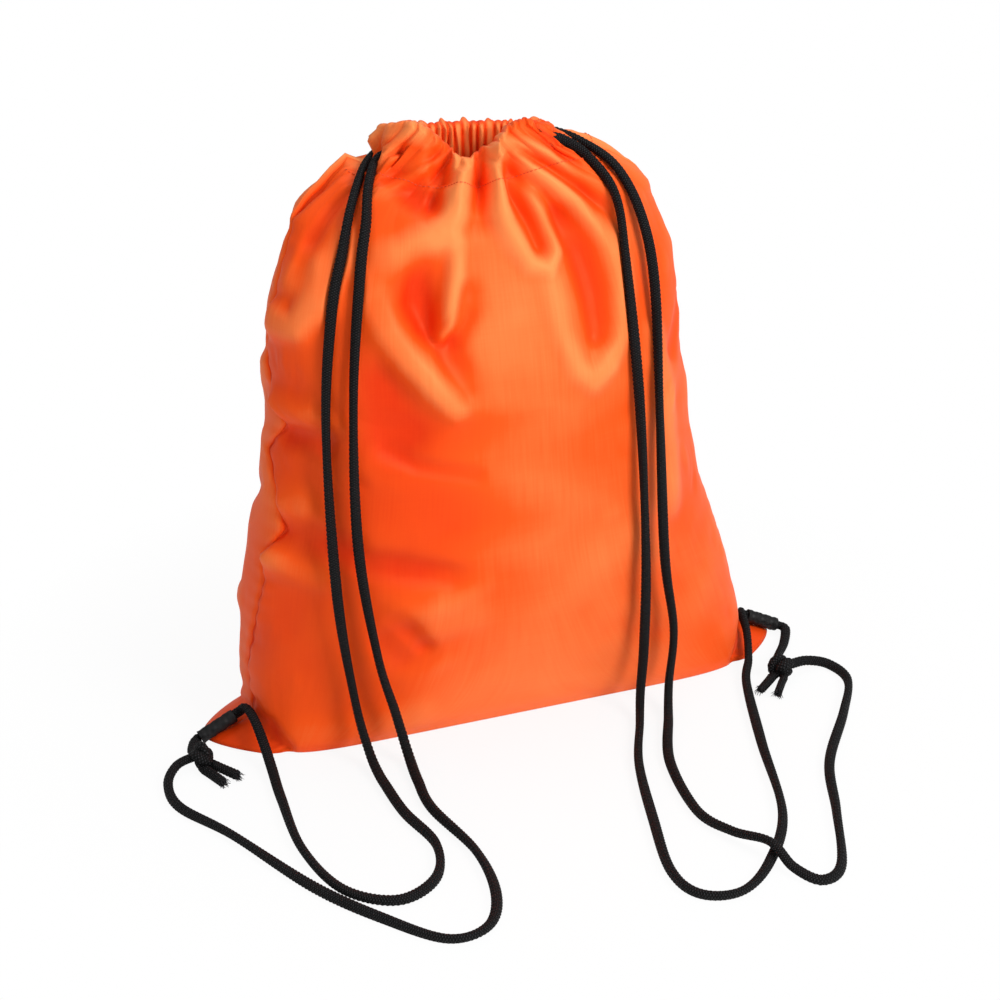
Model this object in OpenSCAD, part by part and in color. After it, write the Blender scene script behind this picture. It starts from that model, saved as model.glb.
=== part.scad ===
// Drawstring sack: a gathered cloth bag with two cords that run in its hem and
// come back to sleeves at its lower corners. It stands filled, cords on the floor.
// Millimetres, +Z up, front towards -Y, origin under the middle of the base.

/* [Cloth bag] */
// Height of the panels, floor to the underside of the hem
body_h = 338; // [320:1:360]
// Width where the bag stands on the floor
foot_w = 304; // [280:1:312]
// Depth where the bag stands on the floor
foot_d = 90; // [78:1:98]
// Width at the hips, just above the floor
hip_w = 320; // [300:1:330]
// Depth at the hips
hip_d = 104; // [94:1:114]
// Width at the belly
belly_w = 308; // [290:1:320]
// Depth at the belly, where the bag is fullest
belly_d = 124; // [110:1:140]
// Width at the waist
waist_w = 278; // [260:1:300]
// Depth at the waist
waist_d = 126; // [110:1:140]
// Width at the chest
chest_w = 256; // [240:1:280]
// Depth at the chest
chest_d = 117; // [100:1:130]
// Width at the shoulder
shoulder_w = 248; // [232:1:262]
// Depth at the shoulder
shoulder_d = 98; // [84:1:110]
// Width at the crown, where the gathers start
crown_w = 219; // [202:1:232]
// Depth at the crown
crown_d = 78; // [68:1:90]
// Width at the collar, just under the hem
collar_w = 180; // [162:1:192]
// Depth at the collar
collar_d = 64; // [56:1:72]
// Thickness of the cloth with its lining
cloth_t = 1.2; // [0.8:0.1:1.6]
// How far the bag leans to its left by the belly
lean_x = 11; // [0:1:16]
// How far the mouth stands back from the middle
lean_y = 7; // [0:1:12]

/* [Bottom corners] */
// How far each pinched corner stands out on the floor
corner_len = 38; // [32:1:42]
// Height of the corner's crest at the hip
corner_h = 15; // [12:1:18]

/* [Gathers] */
// Pleats on each panel
pleats = 9; // [6:1:9]
// Depth of a pleat below the hem
pleat_d = 5.5; // [3:0.5:6]
// Height of the ruffle on top of the hem
ruffle_h = 2.0; // [1:0.5:3]

/* [Mouth and hem casing] */
// Width of the gathered mouth, along the middle of the hem
mouth_w = 84; // [76:1:96]
// Depth of the gathered mouth, along the middle of the hem
mouth_d = 30; // [28:1:34]
// Radius of the mouth's two ends, along the middle of the hem
mouth_end_r = 11; // [10:0.5:12]
// Turn of the mouth, its right end coming forward
mouth_turn = 15; // [0:1:18]
// Thickness of the hem across the gathered ring
hem_t = 11; // [10.5:0.5:12]
// Cloth under and over the cords in the hem
hem_wall = 1.6; // [1.2:0.1:2]

/* [Cords] */
// Diameter of the braided cord
cord_d = 6; // [5:0.1:6.2]
// Clearance around a cord in the hem
cord_gap = 0.4; // [0.3:0.05:0.6]
// Radius of the balled knot at each lower corner
knot_r = 7.5; // [6.5:0.5:8.5]
// Length of the two cut tails behind each knot
tail_len = 20; // [14:1:24]

/* [Corner sleeves] */
// Length of the sleeve that holds the cord
sleeve_len = 24; // [18:1:26]
// Wall of the sleeve
sleeve_t = 1.2; // [0.9:0.1:1.4]
// Clearance of the cord in the sleeve
sleeve_gap = 0.15; // [0.1:0.05:0.2]
// Free width of the sleeve between its tube and its seam
fin_w = 2.4; // [2:0.2:3]
// Thickness of the sleeve's two plies at the seam
fin_t = 1.6; // [1.2:0.1:2]
// Distance from the hip to the sleeve's inner end, along the crest
sleeve_start = 9; // [8:0.5:10]
// Clearance between the sleeve and the corner it is sewn to
seat_gap = 0.5; // [0.4:0.05:0.6]

/* [Sewing] */
// Width of the seam allowance inside each side
allowance_w = 8; // [6:0.5:10]
// Thickness of the seam allowance, its edges bound together
allowance_t = 1.6; // [1.2:0.1:2]
// Thickness of a sewing thread
thread_d = 0.7; // [0.5:0.05:0.8]
// Length of one stitch on the hem
stitch_len = 3.0; // [2:0.25:3.5]

/* [Hidden] */

CLOTH = "orangered";
CORD = [0.07, 0.07, 0.08];
SLEEVE = [0.12, 0.12, 0.13];
THREAD = "darkorange";

LEFT = -1;
RIGHT = 1;
STEPS = 36;            // samples along one panel, seam to seam
CORD_SIDES = 8;
base_t = cloth_t;
cord_r = cord_d / 2;
cord_pitch = cord_d + cord_gap;
hem_h = 2 * hem_wall + 2 * cord_gap + cord_d + cord_pitch;
low_cord_z = body_h + hem_wall + cord_gap + cord_r;
high_cord_z = low_cord_z + cord_pitch;
slot_w = cord_d + 2 * cord_gap;

// ---------- the bag's form: stations from the floor to the hem ----------
// Each is [height, half width, half depth, squareness of the section].
stations = [
    [base_t, foot_w / 2, foot_d / 2, 7],
    [0.053 * body_h, hip_w / 2, hip_d / 2, 3.6],
    [0.22 * body_h, belly_w / 2, belly_d / 2, 2.4],
    [0.41 * body_h, waist_w / 2, waist_d / 2, 2.3],
    [0.60 * body_h, chest_w / 2, chest_d / 2, 2.3],
    [0.77 * body_h, shoulder_w / 2, shoulder_d / 2, 2.3],
    [0.90 * body_h, crown_w / 2, crown_d / 2, 2.2],
    [0.98 * body_h, collar_w / 2, collar_d / 2, 2.1],
    [body_h, mouth_w / 2, mouth_d / 2, 2.1]];
LAST = len(stations) - 1;
levels = [0, 0.35, 0.7, 1, 1.5, 2, 2.5, 3, 3.5, 4, 4.5, 5, 5.5, 6, 6.4, 6.8, 7.2, 7.6, 8];

NECK_OUT = 2.4;        // the body meets the hem this far outside its ring
CORNER_SPREAD = 0.2;   // share of the way along a panel that a corner is drawn out over

function ease(x) = let(c = max(0, min(1, x))) c * c * (3 - 2 * c);
function mix(a, b, k) = a * (1 - k) + b * k;
function unit(v) = v / norm(v);
function sgnpow(v, p) = sign(v) * pow(abs(v), p);
function station(i) = i < 0 ? 2 * stations[0] - stations[1]
    : i > LAST ? 2 * stations[LAST] - stations[LAST - 1] : stations[i];
// A smooth curve through the stations; t counts stations from the floor.
function section(t) =
    let(i = min(floor(t), LAST - 1), f = t - i,
        a = station(i - 1), b = station(i), c = station(i + 1), d = station(i + 2))
    0.5 * (2 * b + (c - a) * f + (2 * a - 5 * b + 4 * c - d) * f * f
        + (3 * b - a - 3 * c + d) * f * f * f);

// ---------- the mouth: an oval of four arcs, front to back the same ----------
end_x = mouth_w / 2 - mouth_end_r;
side_r = (end_x * end_x + pow(mouth_d / 2, 2) - pow(mouth_end_r, 2))
    / (2 * (mouth_d / 2 - mouth_end_r));
side_y = side_r - mouth_d / 2;
side_a = atan(end_x / side_y);          // half the sweep of a long arc
end_share = mouth_end_r * (90 - side_a) / (2 * mouth_end_r * (90 - side_a) + 2 * side_r * side_a);

// Direction in which the front half of the oval faces at share s, 0 left to 1 right.
function front_facing(s) =
    s < end_share ? -180 + (90 - side_a) * s / end_share
    : s > 1 - end_share ? -(90 - side_a) * (1 - s) / end_share
    : -90 - side_a + 2 * side_a * (s - end_share) / (1 - 2 * end_share);
function facing(s) = s <= 1 ? front_facing(s) : 180 + front_facing(s - 1);
function oval(s, off) =
    let(a = facing(s), u = [cos(a), sin(a)], half = s <= 1 ? s : s - 1)
    half < end_share ? [(s <= 1 ? -1 : 1) * end_x, 0] + (mouth_end_r + off) * u
    : half > 1 - end_share ? [(s <= 1 ? 1 : -1) * end_x, 0] + (mouth_end_r + off) * u
    : [0, (s <= 1 ? 1 : -1) * side_y] + (side_r + off) * u;

// ---------- the skin: s runs 0..1 along the front panel, 1..2 along the back ----------
function around(s) = s < 0 ? s + 2 : s > 2 ? s - 2 : s;
function turned(p, a) = [p[0] * cos(a) - p[1] * sin(a), p[0] * sin(a) + p[1] * cos(a)];
function lean(z) = [-lean_x * ease((z - corner_h) / (0.35 * body_h)),
                    lean_y * ease((z - 0.6 * body_h) / (0.4 * body_h))];
// The corner's crest runs straight down from the hip to the floor.
crest_a = atan(corner_h / ((foot_w - hip_w) / 2 + corner_len));
function corner(s, q) =
    let(crest = hip_w / 2 + (corner_h - q[0]) / tan(crest_a))
    max(0, crest - q[1] - corner_len * from_seam(s) / CORNER_SPREAD);
function from_seam(s) = min(s, abs(s - 1), abs(s - 2));
// Pleats deepen towards the hem and fade beside the side seams.
function pleat(t, s) = pleat_d * ease((t - 4) / 2.5) * (1 - 0.35 * ease(t - 7))
    * ease(from_seam(s) / 0.1) * (1 - cos(360 * pleats * s)) / 2;
// The smooth section, before the pleats are pressed into it; tip 1 draws out the corners.
function plain(t, s, tip = 0) =
    let(q = section(t), a = -180 + 180 * s, w = q[1] + tip * corner(s, q),
        loop = [w * sgnpow(cos(a), 2 / q[3]), q[2] * sgnpow(sin(a), 2 / q[3])],
        k = ease((t - 6.2) / 1.8), flat = mix(loop, oval(s, NECK_OUT), k))
    let(p = turned(flat, -mouth_turn * ease((t - 5.5) / 2.5)) + lean(q[0]))
    [p[0], p[1], q[0]];
function across(t, s) =
    let(d = plain(t, around(s + 0.01)) - plain(t, around(s - 0.01))) unit([d[1], -d[0], 0]);
function skin(t, s) = plain(t, s, 1) - pleat(t, s) * across(t, s);
// Outward from the cloth; level at the floor and at the hem, where the rims are flat.
function outward(t, s) =
    t == 0 || t == LAST ? across(t, s)
    : let(up = plain(t + 0.02, s) - plain(t - 0.02, s),
          along = plain(t, around(s + 0.01)) - plain(t, around(s - 0.01)))
      unit(cross(along, up));
function lining(t, s) = plain(t, s) - pleat(t, s) * across(t, s) - cloth_t * outward(t, s);

// ---------- solids swept from rings of points ----------
function quad(a, b, c, d) = [[a, b, c], [a, c, d]];

// A tube along a route: one ring of points at each place, capped at both ends.
// The end rings face along start_way and end_way where these are given.
module tube(route, r, sides, start_way = [0, 0, 0], end_way = [0, 0, 0]) {
    last = len(route) - 1;
    function tangent(i) = i == 0 && norm(start_way) > 0 ? start_way
        : i == last && norm(end_way) > 0 ? end_way
        : unit(route[min(i + 1, last)] - route[max(i - 1, 0)]);
    function carry(i) = i == 0
        ? let(t = tangent(0), h = abs(t[2]) < 0.9 ? [0, 0, 1] : [1, 0, 0]) unit(cross(t, h))
        : let(n = carry(i - 1), t = tangent(i)) unit(n - (n * t) * t);
    points = [for (i = [0 : last])
        let(t = tangent(i), n = carry(i), b = cross(t, n))
        for (k = [0 : sides - 1])
            route[i] + r * (cos(360 * k / sides) * n + sin(360 * k / sides) * b)];
    walls = [for (i = [0 : last - 1]) for (k = [0 : sides - 1])
        let(a = i * sides + k, b = i * sides + (k + 1) % sides)
        [a, a + sides, b + sides, b]];
    tris = [for (w = walls) for (q = quad(w[0], w[1], w[2], w[3])) q];
    start = [for (k = [0 : sides - 1]) k];
    finish = [for (k = [sides - 1 : -1 : 0]) last * sides + k];
    polyhedron(points, concat(tris, [start, finish]), convexity = 6);
}

// One panel of the bag, from share s0 to s0 + 1 of the way round.
module panel(s0) {
    rows = len(levels);
    cols = STEPS + 1;
    points = [for (side = [0, 1]) for (t = levels) for (j = [0 : STEPS])
        side == 0 ? skin(t, s0 + j / STEPS) : lining(t, s0 + j / STEPS)];
    function at(side, i, j) = side * rows * cols + i * cols + j;
    outer = [for (i = [0 : rows - 2]) for (j = [0 : STEPS - 1])
        for (q = quad(at(0, i, j), at(0, i + 1, j), at(0, i + 1, j + 1), at(0, i, j + 1))) q];
    inner = [for (i = [0 : rows - 2]) for (j = [0 : STEPS - 1])
        for (q = quad(at(1, i, j), at(1, i, j + 1), at(1, i + 1, j + 1), at(1, i + 1, j))) q];
    rims = [for (j = [0 : STEPS - 1])
        for (q = concat(
            quad(at(0, 0, j), at(0, 0, j + 1), at(1, 0, j + 1), at(1, 0, j)),
            quad(at(0, rows - 1, j), at(1, rows - 1, j), at(1, rows - 1, j + 1),
                 at(0, rows - 1, j + 1)))) q];
    ends = [for (i = [0 : rows - 2])
        for (q = concat(
            quad(at(0, i, 0), at(1, i, 0), at(1, i + 1, 0), at(0, i + 1, 0)),
            quad(at(0, i, STEPS), at(0, i + 1, STEPS), at(1, i + 1, STEPS), at(1, i, STEPS)))) q];
    polyhedron(points, concat(outer, inner, rims, ends), convexity = 8);
}

module base_fold() {
    outline = [for (j = [0 : 2 * STEPS - 1]) let(p = skin(0, j / STEPS)) [p[0], p[1]]];
    color(CLOTH) linear_extrude(base_t) polygon(outline);
}
module front_panel() { color(CLOTH) panel(0); }
module back_panel() { color(CLOTH) panel(1); }

// ---------- the gathered hem and the slot that the cords run in ----------
module at_mouth() {
    middle = lean(body_h);
    translate([middle[0], middle[1], 0]) rotate([0, 0, -mouth_turn]) children();
}
HEM_STEPS = 40;
HEM_CORD_RINGS = 36;
SEWN_AT = 0.2;         // share of the hem's height where it is sewn
SEWN_IN = 0.6;         // and how far its wall is drawn in there
RUFFLE_FLARE = 0.12;   // how much wider the ring stands at a ruffle's crests
function ruffle(s) = (1 + cos(360 * (pleats + 1) * s)) / 2;

module hem_casing(s0) {
    w = hem_t / 2;
    c = slot_w / 2;
    slot_low = hem_wall;
    slot_high = hem_h - hem_wall;
    // The section through the hem: [out from the ring, height, share of the ruffle].
    shell = [[-w + 2, 0, 0], [w - 2, 0, 0], [w - SEWN_IN, SEWN_AT * hem_h, 0],
             [w - 1.2, 0.6 * hem_h, 0.3],
             [w - 1.6, hem_h, 1], [-w + 1.6, hem_h, 1], [-w + 1.2, 0.6 * hem_h, 0.3],
             [-w + SEWN_IN, SEWN_AT * hem_h, 0]];
    slot = [[-0.5 * c, slot_low, 0], [0.5 * c, slot_low, 0], [c, slot_low + 0.3 * slot_w, 0],
            [c, slot_high - 0.3 * slot_w, 0], [0.5 * c, slot_high, 0], [-0.5 * c, slot_high, 0],
            [-c, slot_high - 0.3 * slot_w, 0], [-c, slot_low + 0.3 * slot_w, 0]];
    ring = concat(shell, slot);
    count = len(ring);
    half = len(shell);
    function share(j) = s0 + end_share + (1 - 2 * end_share) * j / HEM_STEPS;
    points = [for (j = [0 : HEM_STEPS]) let(s = share(j), f = ruffle(s)) for (q = ring)
        let(wave = q[2] == 0 ? 0 : f, p = oval(s, q[0] * (1 + RUFFLE_FLARE * wave)))
        [p[0], p[1], body_h + q[1] + ruffle_h * q[2] * wave]];
    function at(j, k) = j * count + k;
    outer = [for (j = [0 : HEM_STEPS - 1]) for (k = [0 : half - 1]) let(n = (k + 1) % half)
        for (q = quad(at(j, k), at(j, n), at(j + 1, n), at(j + 1, k))) q];
    inner = [for (j = [0 : HEM_STEPS - 1]) for (k = [0 : half - 1]) let(n = (k + 1) % half)
        for (q = quad(at(j, half + k), at(j + 1, half + k), at(j + 1, half + n), at(j, half + n))) q];
    ends = [for (k = [0 : half - 1]) let(n = (k + 1) % half)
        for (q = concat(
            quad(at(0, k), at(0, half + k), at(0, half + n), at(0, n)),
            quad(at(HEM_STEPS, k), at(HEM_STEPS, n), at(HEM_STEPS, half + n), at(HEM_STEPS, half + k)))) q];
    at_mouth() polyhedron(points, concat(outer, inner, ends), convexity = 8);
}
module front_hem_casing() { color(CLOTH) hem_casing(0); }
module back_hem_casing() { color(CLOTH) hem_casing(1); }

// Stitches that close the hem, laid on the outside of the ring.
module hem_thread(side) {
    stitch_a = stitch_len / side_r * 180 / PI;
    reach = side_a * 0.9;
    out = side_r + hem_t / 2 - SEWN_IN + thread_d / 2;
    count = floor(reach / stitch_a);
    at_mouth() mirror([0, side < 0 ? 0 : 1, 0]) translate([0, side_y, body_h + SEWN_AT * hem_h])
        for (i = [-count : count]) rotate([0, 0, -90 + i * stitch_a])
            translate([out, 0, 0]) rotate([90, 0, 0])
                cylinder(d = thread_d, h = 0.7 * stitch_len, center = true, $fn = 16);
}
module front_hem_thread() { color(THREAD) hem_thread(-1); }
module back_hem_thread() { color(THREAD) hem_thread(1); }

// The way that the ring runs at share s.
function ring_way(s) = [-sin(facing(s)), cos(facing(s)), 0];
// A whole cord in the hem: out along the front, round the far end and home along the back.
module cord_in_hem(side) {
    z = side == LEFT ? low_cord_z : high_cord_z;
    from = side == LEFT ? end_share : 1 + end_share;
    sweep = 2 - 2 * end_share;
    route = [for (i = [0 : HEM_CORD_RINGS])
        let(p = oval(around(from + sweep * i / HEM_CORD_RINGS), 0)) [p[0], p[1], z]];
    at_mouth() tube(route, cord_r, CORD_SIDES, ring_way(from), ring_way(around(from + sweep)));
}
module left_cord_in_hem() { color(CORD) cord_in_hem(LEFT); }
module right_cord_in_hem() { color(CORD) cord_in_hem(RIGHT); }

// ---------- side seams: a bound allowance standing inside each side ----------
// It starts above the corner and stops under the gathers.
SEAM_LEVELS = [for (i = [0 : 16]) 1 + 4.6 * i / 16];
module side_seam(s) {
    last = len(SEAM_LEVELS) - 1;
    t2 = allowance_t / 2;
    points = [for (t = SEAM_LEVELS) let(p = plain(t, s), n = across(t, s), q = [-n[1], n[0], 0],
            outer = cloth_t * 1.6 + seat_gap)
        for (c = [[outer, -t2], [outer, t2], [outer + allowance_w, t2], [outer + allowance_w, -t2]])
            p - c[0] * n + c[1] * q];
    walls = [for (i = [0 : last - 1]) for (k = [0 : 3]) let(n = (k + 1) % 4)
        for (q = quad(4 * i + k, 4 * i + 4 + k, 4 * i + 4 + n, 4 * i + n)) q];
    polyhedron(points, concat(walls, [[0, 1, 2, 3], [4 * last + 3, 4 * last + 2, 4 * last + 1, 4 * last]]),
        convexity = 6);
}
module left_side_seam() { color(CLOTH) side_seam(0); }
module right_side_seam() { color(CLOTH) side_seam(1); }

// ---------- corner sleeves ----------
// The sleeve lies before the corner's crest, so its frame follows the crest downwards.
sleeve_bore_r = cord_r + sleeve_gap;
sleeve_r = sleeve_bore_r + sleeve_t;
sleeve_off = sleeve_r + fin_w;
module at_crest(side) {
    mirror([side == LEFT ? 1 : 0, 0, 0])
        translate([hip_w / 2, 0, corner_h]) rotate([0, crest_a, 0])
            translate([sleeve_start, 0, fin_t / 2 + seat_gap]) children();
}
module corner_sleeve(side) {
    at_crest(side) translate([0, -sleeve_off, sleeve_r - fin_t / 2]) rotate([90, 0, 90])
        linear_extrude(sleeve_len) difference() {
            union() {
                circle(r = sleeve_r, $fn = 64);
                translate([0, -sleeve_r]) square([sleeve_off, fin_t]);
            }
            circle(r = sleeve_bore_r, $fn = 64);
        }
}
module left_corner_sleeve() { color(SLEEVE) corner_sleeve(LEFT); }
module right_corner_sleeve() { color(SLEEVE) corner_sleeve(RIGHT); }

// Bar of stitches through the sleeve's plies, beside its seam.
module sleeve_stitching(side) {
    count = floor((sleeve_len - stitch_len) / stitch_len);
    margin = (sleeve_len - count * stitch_len) / 2;
    at_crest(side) for (i = [0 : count - 1])
        translate([margin + (i + 0.15) * stitch_len, -0.35 * fin_w, fin_t / 2 + thread_d / 2])
            rotate([0, 90, 0]) cylinder(d = thread_d, h = 0.7 * stitch_len, $fn = 16);
}
module left_sleeve_stitching() { color(CORD) sleeve_stitching(LEFT); }
module right_sleeve_stitching() { color(CORD) sleeve_stitching(RIGHT); }

module cord_in_sleeve(side) {
    at_crest(side) translate([0, -sleeve_off, sleeve_r - fin_t / 2])
        rotate([0, 90, 0]) cylinder(r = cord_r, h = sleeve_len, $fn = 64);
}
module left_cord_in_sleeve() { color(CORD) cord_in_sleeve(LEFT); }
module right_cord_in_sleeve() { color(CORD) cord_in_sleeve(RIGHT); }

// ---------- free cords: routes chosen by hand, from the hem to the floor and back ----------
// Where a cord leaves the hem at share s; way is 1 where it leaves along the ring, else -1.
function hem_exit(s, way, z, ahead) =
    let(p = oval(s, 0) + ahead * way * [ring_way(s)[0], ring_way(s)[1]],
        w = turned(p, -mouth_turn) + lean(body_h)) [w[0], w[1], z];
// A place on the sleeve's axis, measured outwards from its inner end.
function sleeve_at(side, x) =
    let(along = sleeve_start + x, up = seat_gap + sleeve_r)
    [side * (hip_w / 2 + along * cos(crest_a) + up * sin(crest_a)), -sleeve_off,
     corner_h - along * sin(crest_a) + up * cos(crest_a)];
STRAIGHT_OUT = 9;      // a cord leaves the hem straight for this far
STRAIGHT_IN = 4;       // and enters its sleeve straight for this far
FLOOR_GAP = 0.2;       // a cord lies this far over the floor
LEFT_KNOT = [-198, -34, 8];
RIGHT_KNOT = [166, -64, 8];

left_to_sleeve = [
    [-60, 25, 342], [-74.5, 11, 337.5], [-90, -11, 323.5], [-100, -23.5, 302],
    [-110.5, -32.5, 268.5], [-119, -43, 205], [-120, -57, 110], [-112, -59, 42],
    [-107, -67, 11], [-107, -90, 3.2], [-107, -128, 3.2], [-102, -166, 3.2],
    [-114, -197, 3.2], [-140, -209, 3.2], [-164, -188, 3.2], [-172, -142, 3.2],
    [-167, -88, 3.2], [-163, -58, 4.5], [-162, -38, 12], [-162.5, -22.5, 19],
    [-164, -11, 21]];
left_to_knot = [
    [-67, 9, 342], [-78, -6, 332], [-85, -21, 316], [-93, -32, 290], [-104, -48, 225],
    [-107, -58, 140], [-99, -64, 70], [-89, -65, 30], [-85, -74, 7], [-88, -98, 3.2],
    [-91, -130, 3.2], [-84, -180, 3.2], [-89, -222, 3.2], [-104, -249, 3.2],
    [-128, -252, 3.2], [-153, -222, 3.2], [-178, -180, 3.2], [-204, -114, 3.2],
    [-223, -76, 3.2], [-223, -50, 3.4], [-214, -35, 5.5], [-203, -33, 8]];
right_to_sleeve = [
    [38, -11, 346], [51, -15, 336], [61.5, -29, 317.5], [66, -36, 282], [68, -55, 200],
    [70, -65, 105], [70, -66, 45], [66, -71, 15], [58, -88, 3.2], [38, -130, 3.2],
    [20, -188, 3.2], [7, -238, 3.2], [12, -264, 3.2], [34, -270, 3.2], [61, -250, 3.2],
    [91, -208, 3.2], [116, -134, 3.2], [140, -68, 3.2], [153, -45, 6.5], [160.5, -27, 15.5],
    [164, -12, 20.5]];
right_to_knot = [
    [50, -4, 343], [66.5, -19, 330], [79, -28, 302], [84, -38, 262], [82, -54, 185],
    [83, -64, 100], [90, -65, 50], [86, -69, 16], [77, -88, 3.2], [56, -134, 3.2],
    [47, -188, 3.2], [54, -218, 5.5], [65, -242, 10.2], [69, -262, 5], [79, -277, 3.2],
    [96, -267, 3.2], [120, -218, 3.2], [142, -170, 3.2], [178, -122, 3.2], [200, -88, 3.2],
    [199, -66, 3.6], [186, -60, 6], [171, -64, 8]];
left_sleeve_to_knot = [[-197, -11, 3.2], [-200, -20, 4], [-198, -28, 7]];
right_sleeve_to_knot = [[196, -13, 3.2], [186, -30, 3.2], [172, -48, 5.5], [167, -58, 8]];

// A route with halfway points put in on a smooth curve, none of them in the floor.
function smooth(l) =
    let(last = len(l) - 1)
    [for (i = [0 : 2 * last])
        let(k = floor(i / 2), a = l[max(k - 1, 0)], d = l[min(k + 2, last)])
        i % 2 == 0 ? l[k]
        : let(p = (9 * (l[k] + l[k + 1]) - a - d) / 16) [p[0], p[1], max(p[2], cord_r + FLOOR_GAP)]];
module strap(route, s, way, z, side, to_sleeve) {
    out = [hem_exit(s, way, z, 0), hem_exit(s, way, z, STRAIGHT_OUT)];
    in = to_sleeve ? [sleeve_at(side, -STRAIGHT_IN), sleeve_at(side, 0)] : [];
    tube(smooth(concat(out, route, in)), cord_r, CORD_SIDES,
        unit(out[1] - out[0]), to_sleeve ? unit(in[1] - in[0]) : [0, 0, 0]);
}
module left_strap_to_sleeve() {
    color(CORD) strap(left_to_sleeve, 2 - end_share, 1, low_cord_z, LEFT, true);
}
module left_strap_to_knot() {
    color(CORD) strap(left_to_knot, end_share, -1, low_cord_z, LEFT, false);
}
module right_strap_to_sleeve() {
    color(CORD) strap(right_to_sleeve, 1 - end_share, 1, high_cord_z, RIGHT, true);
}
module right_strap_to_knot() {
    color(CORD) strap(right_to_knot, 1 + end_share, -1, high_cord_z, RIGHT, false);
}
// The cord comes out of its sleeve clear of it, and turns to the knot.
module cord_to_knot(route, side) {
    out = [sleeve_at(side, sleeve_len + seat_gap), sleeve_at(side, sleeve_len + seat_gap + 2)];
    tube(smooth(concat(out, route)), cord_r, CORD_SIDES, unit(out[1] - out[0]));
}
module left_cord_to_knot() { color(CORD) cord_to_knot(left_sleeve_to_knot, LEFT); }
module right_cord_to_knot() { color(CORD) cord_to_knot(right_sleeve_to_knot, RIGHT); }

// ---------- knots: three turns of cord about a core, two cut tails ----------
KNOT_TILTS = [[0, 70, 20], [80, 0, 40], [60, 50, 110]];
module knot() {
    turn_r = 0.58 * knot_r;
    for (tilt = KNOT_TILTS)
        rotate(tilt) rotate_extrude($fn = 24) translate([turn_r, 0]) circle(r = knot_r - turn_r, $fn = 16);
    sphere(r = turn_r, $fn = 24);
}
module left_knot() { color(CORD) translate(LEFT_KNOT) knot(); }
module right_knot() { color(CORD) translate(RIGHT_KNOT) knot(); }
// The tails lie side by side on the floor and splay a little.
TAIL_FROM = 0.6;       // where a tail starts, in knot radii from the knot's middle
TAILS_APART = 1.08;    // from one tail to the other, in cord diameters
TAIL_SPLAY = 6;
LEFT_TAILS_WAY = -66;
RIGHT_TAILS_WAY = -134;
module tails(place, way) {
    translate([place[0], place[1], cord_r + FLOOR_GAP]) for (side = [-1, 1])
        rotate([0, 0, way + side * TAIL_SPLAY])
            translate([TAIL_FROM * knot_r, side * TAILS_APART * cord_d / 2, 0])
                rotate([0, 90, 0]) cylinder(r = cord_r, h = tail_len, $fn = 24);
}
module left_cord_tails() { color(CORD) tails(LEFT_KNOT, LEFT_TAILS_WAY); }
module right_cord_tails() { color(CORD) tails(RIGHT_KNOT, RIGHT_TAILS_WAY); }

base_fold();
front_panel();
back_panel();
front_hem_casing();
back_hem_casing();
front_hem_thread();
back_hem_thread();
left_side_seam();
right_side_seam();
left_corner_sleeve();
right_corner_sleeve();
left_sleeve_stitching();
right_sleeve_stitching();
left_cord_in_hem();
right_cord_in_hem();
left_strap_to_sleeve();
left_strap_to_knot();
right_strap_to_sleeve();
right_strap_to_knot();
left_cord_in_sleeve();
right_cord_in_sleeve();
left_cord_to_knot();
right_cord_to_knot();
left_knot();
right_knot();
left_cord_tails();
right_cord_tails();
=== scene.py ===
"""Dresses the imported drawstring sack: cloth, gathered hem, cords, sleeves, knots and studio."""

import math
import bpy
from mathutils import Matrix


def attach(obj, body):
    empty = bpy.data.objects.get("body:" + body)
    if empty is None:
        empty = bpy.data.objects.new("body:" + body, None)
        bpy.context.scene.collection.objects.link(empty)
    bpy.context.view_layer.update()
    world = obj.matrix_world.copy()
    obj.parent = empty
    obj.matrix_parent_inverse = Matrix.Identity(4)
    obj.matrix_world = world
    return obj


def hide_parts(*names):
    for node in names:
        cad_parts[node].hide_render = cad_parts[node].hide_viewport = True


bl_info = {
    "name": "Drawstring Sack",
    "version": (1, 0, 0),
    "blender": (4, 5, 0),
    "location": "View3D > Sidebar > Sack",
    "description": "Makes a filled cloth drawstring sack with its cords over its packed model",
    "category": "Add Mesh",
}

import bmesh
import bpy
import numpy as np
from bpy.props import FloatProperty, FloatVectorProperty, IntProperty, PointerProperty
from mathutils import Vector, kdtree
from mathutils.bvhtree import BVHTree

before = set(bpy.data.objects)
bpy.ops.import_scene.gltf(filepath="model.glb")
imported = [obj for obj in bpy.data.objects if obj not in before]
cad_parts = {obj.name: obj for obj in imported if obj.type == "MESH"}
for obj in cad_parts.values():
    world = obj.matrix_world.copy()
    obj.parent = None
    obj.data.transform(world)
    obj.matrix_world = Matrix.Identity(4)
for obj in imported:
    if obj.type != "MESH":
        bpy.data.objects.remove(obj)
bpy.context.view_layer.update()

MM = 0.001
TAU = 2 * math.pi
LEFT, RIGHT = -1, 1
SIDES = ((LEFT, "left"), (RIGHT, "right"))
PANELS = ("front", "back")

# The photograph's frame, and the places in it that set the camera and the fittings.
IMAGE_W = 1000
IMAGE_H = 1000
POINTS = {
    "left_edge": (200, None),
    "right_edge": (777, None),
    "top_edge": (None, 118),
    "bottom_edge": (None, 753),
    "left_cord_exit": (380, 157),
    "right_cord_exit": (556, 138),
    "left_sleeve": (217, 727),
    "right_sleeve": (762, 620),
    "left_knot": (202, 755),
    "right_knot": (781, 661),
    "hem_stitches": (462, 181),
    "left_seam_high": (271, 397),
    "left_seam_low": (264, 579),
}
CAMERA_AZ = -22.0
CAMERA_EL = 25.0
CAMERA_DISTANCE = 1.5
CAMERA_LENS = 89.64
CAMERA_SENSOR = 36.0
CAMERA_AIM = (0.003, 0.0, 0.123)

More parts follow.
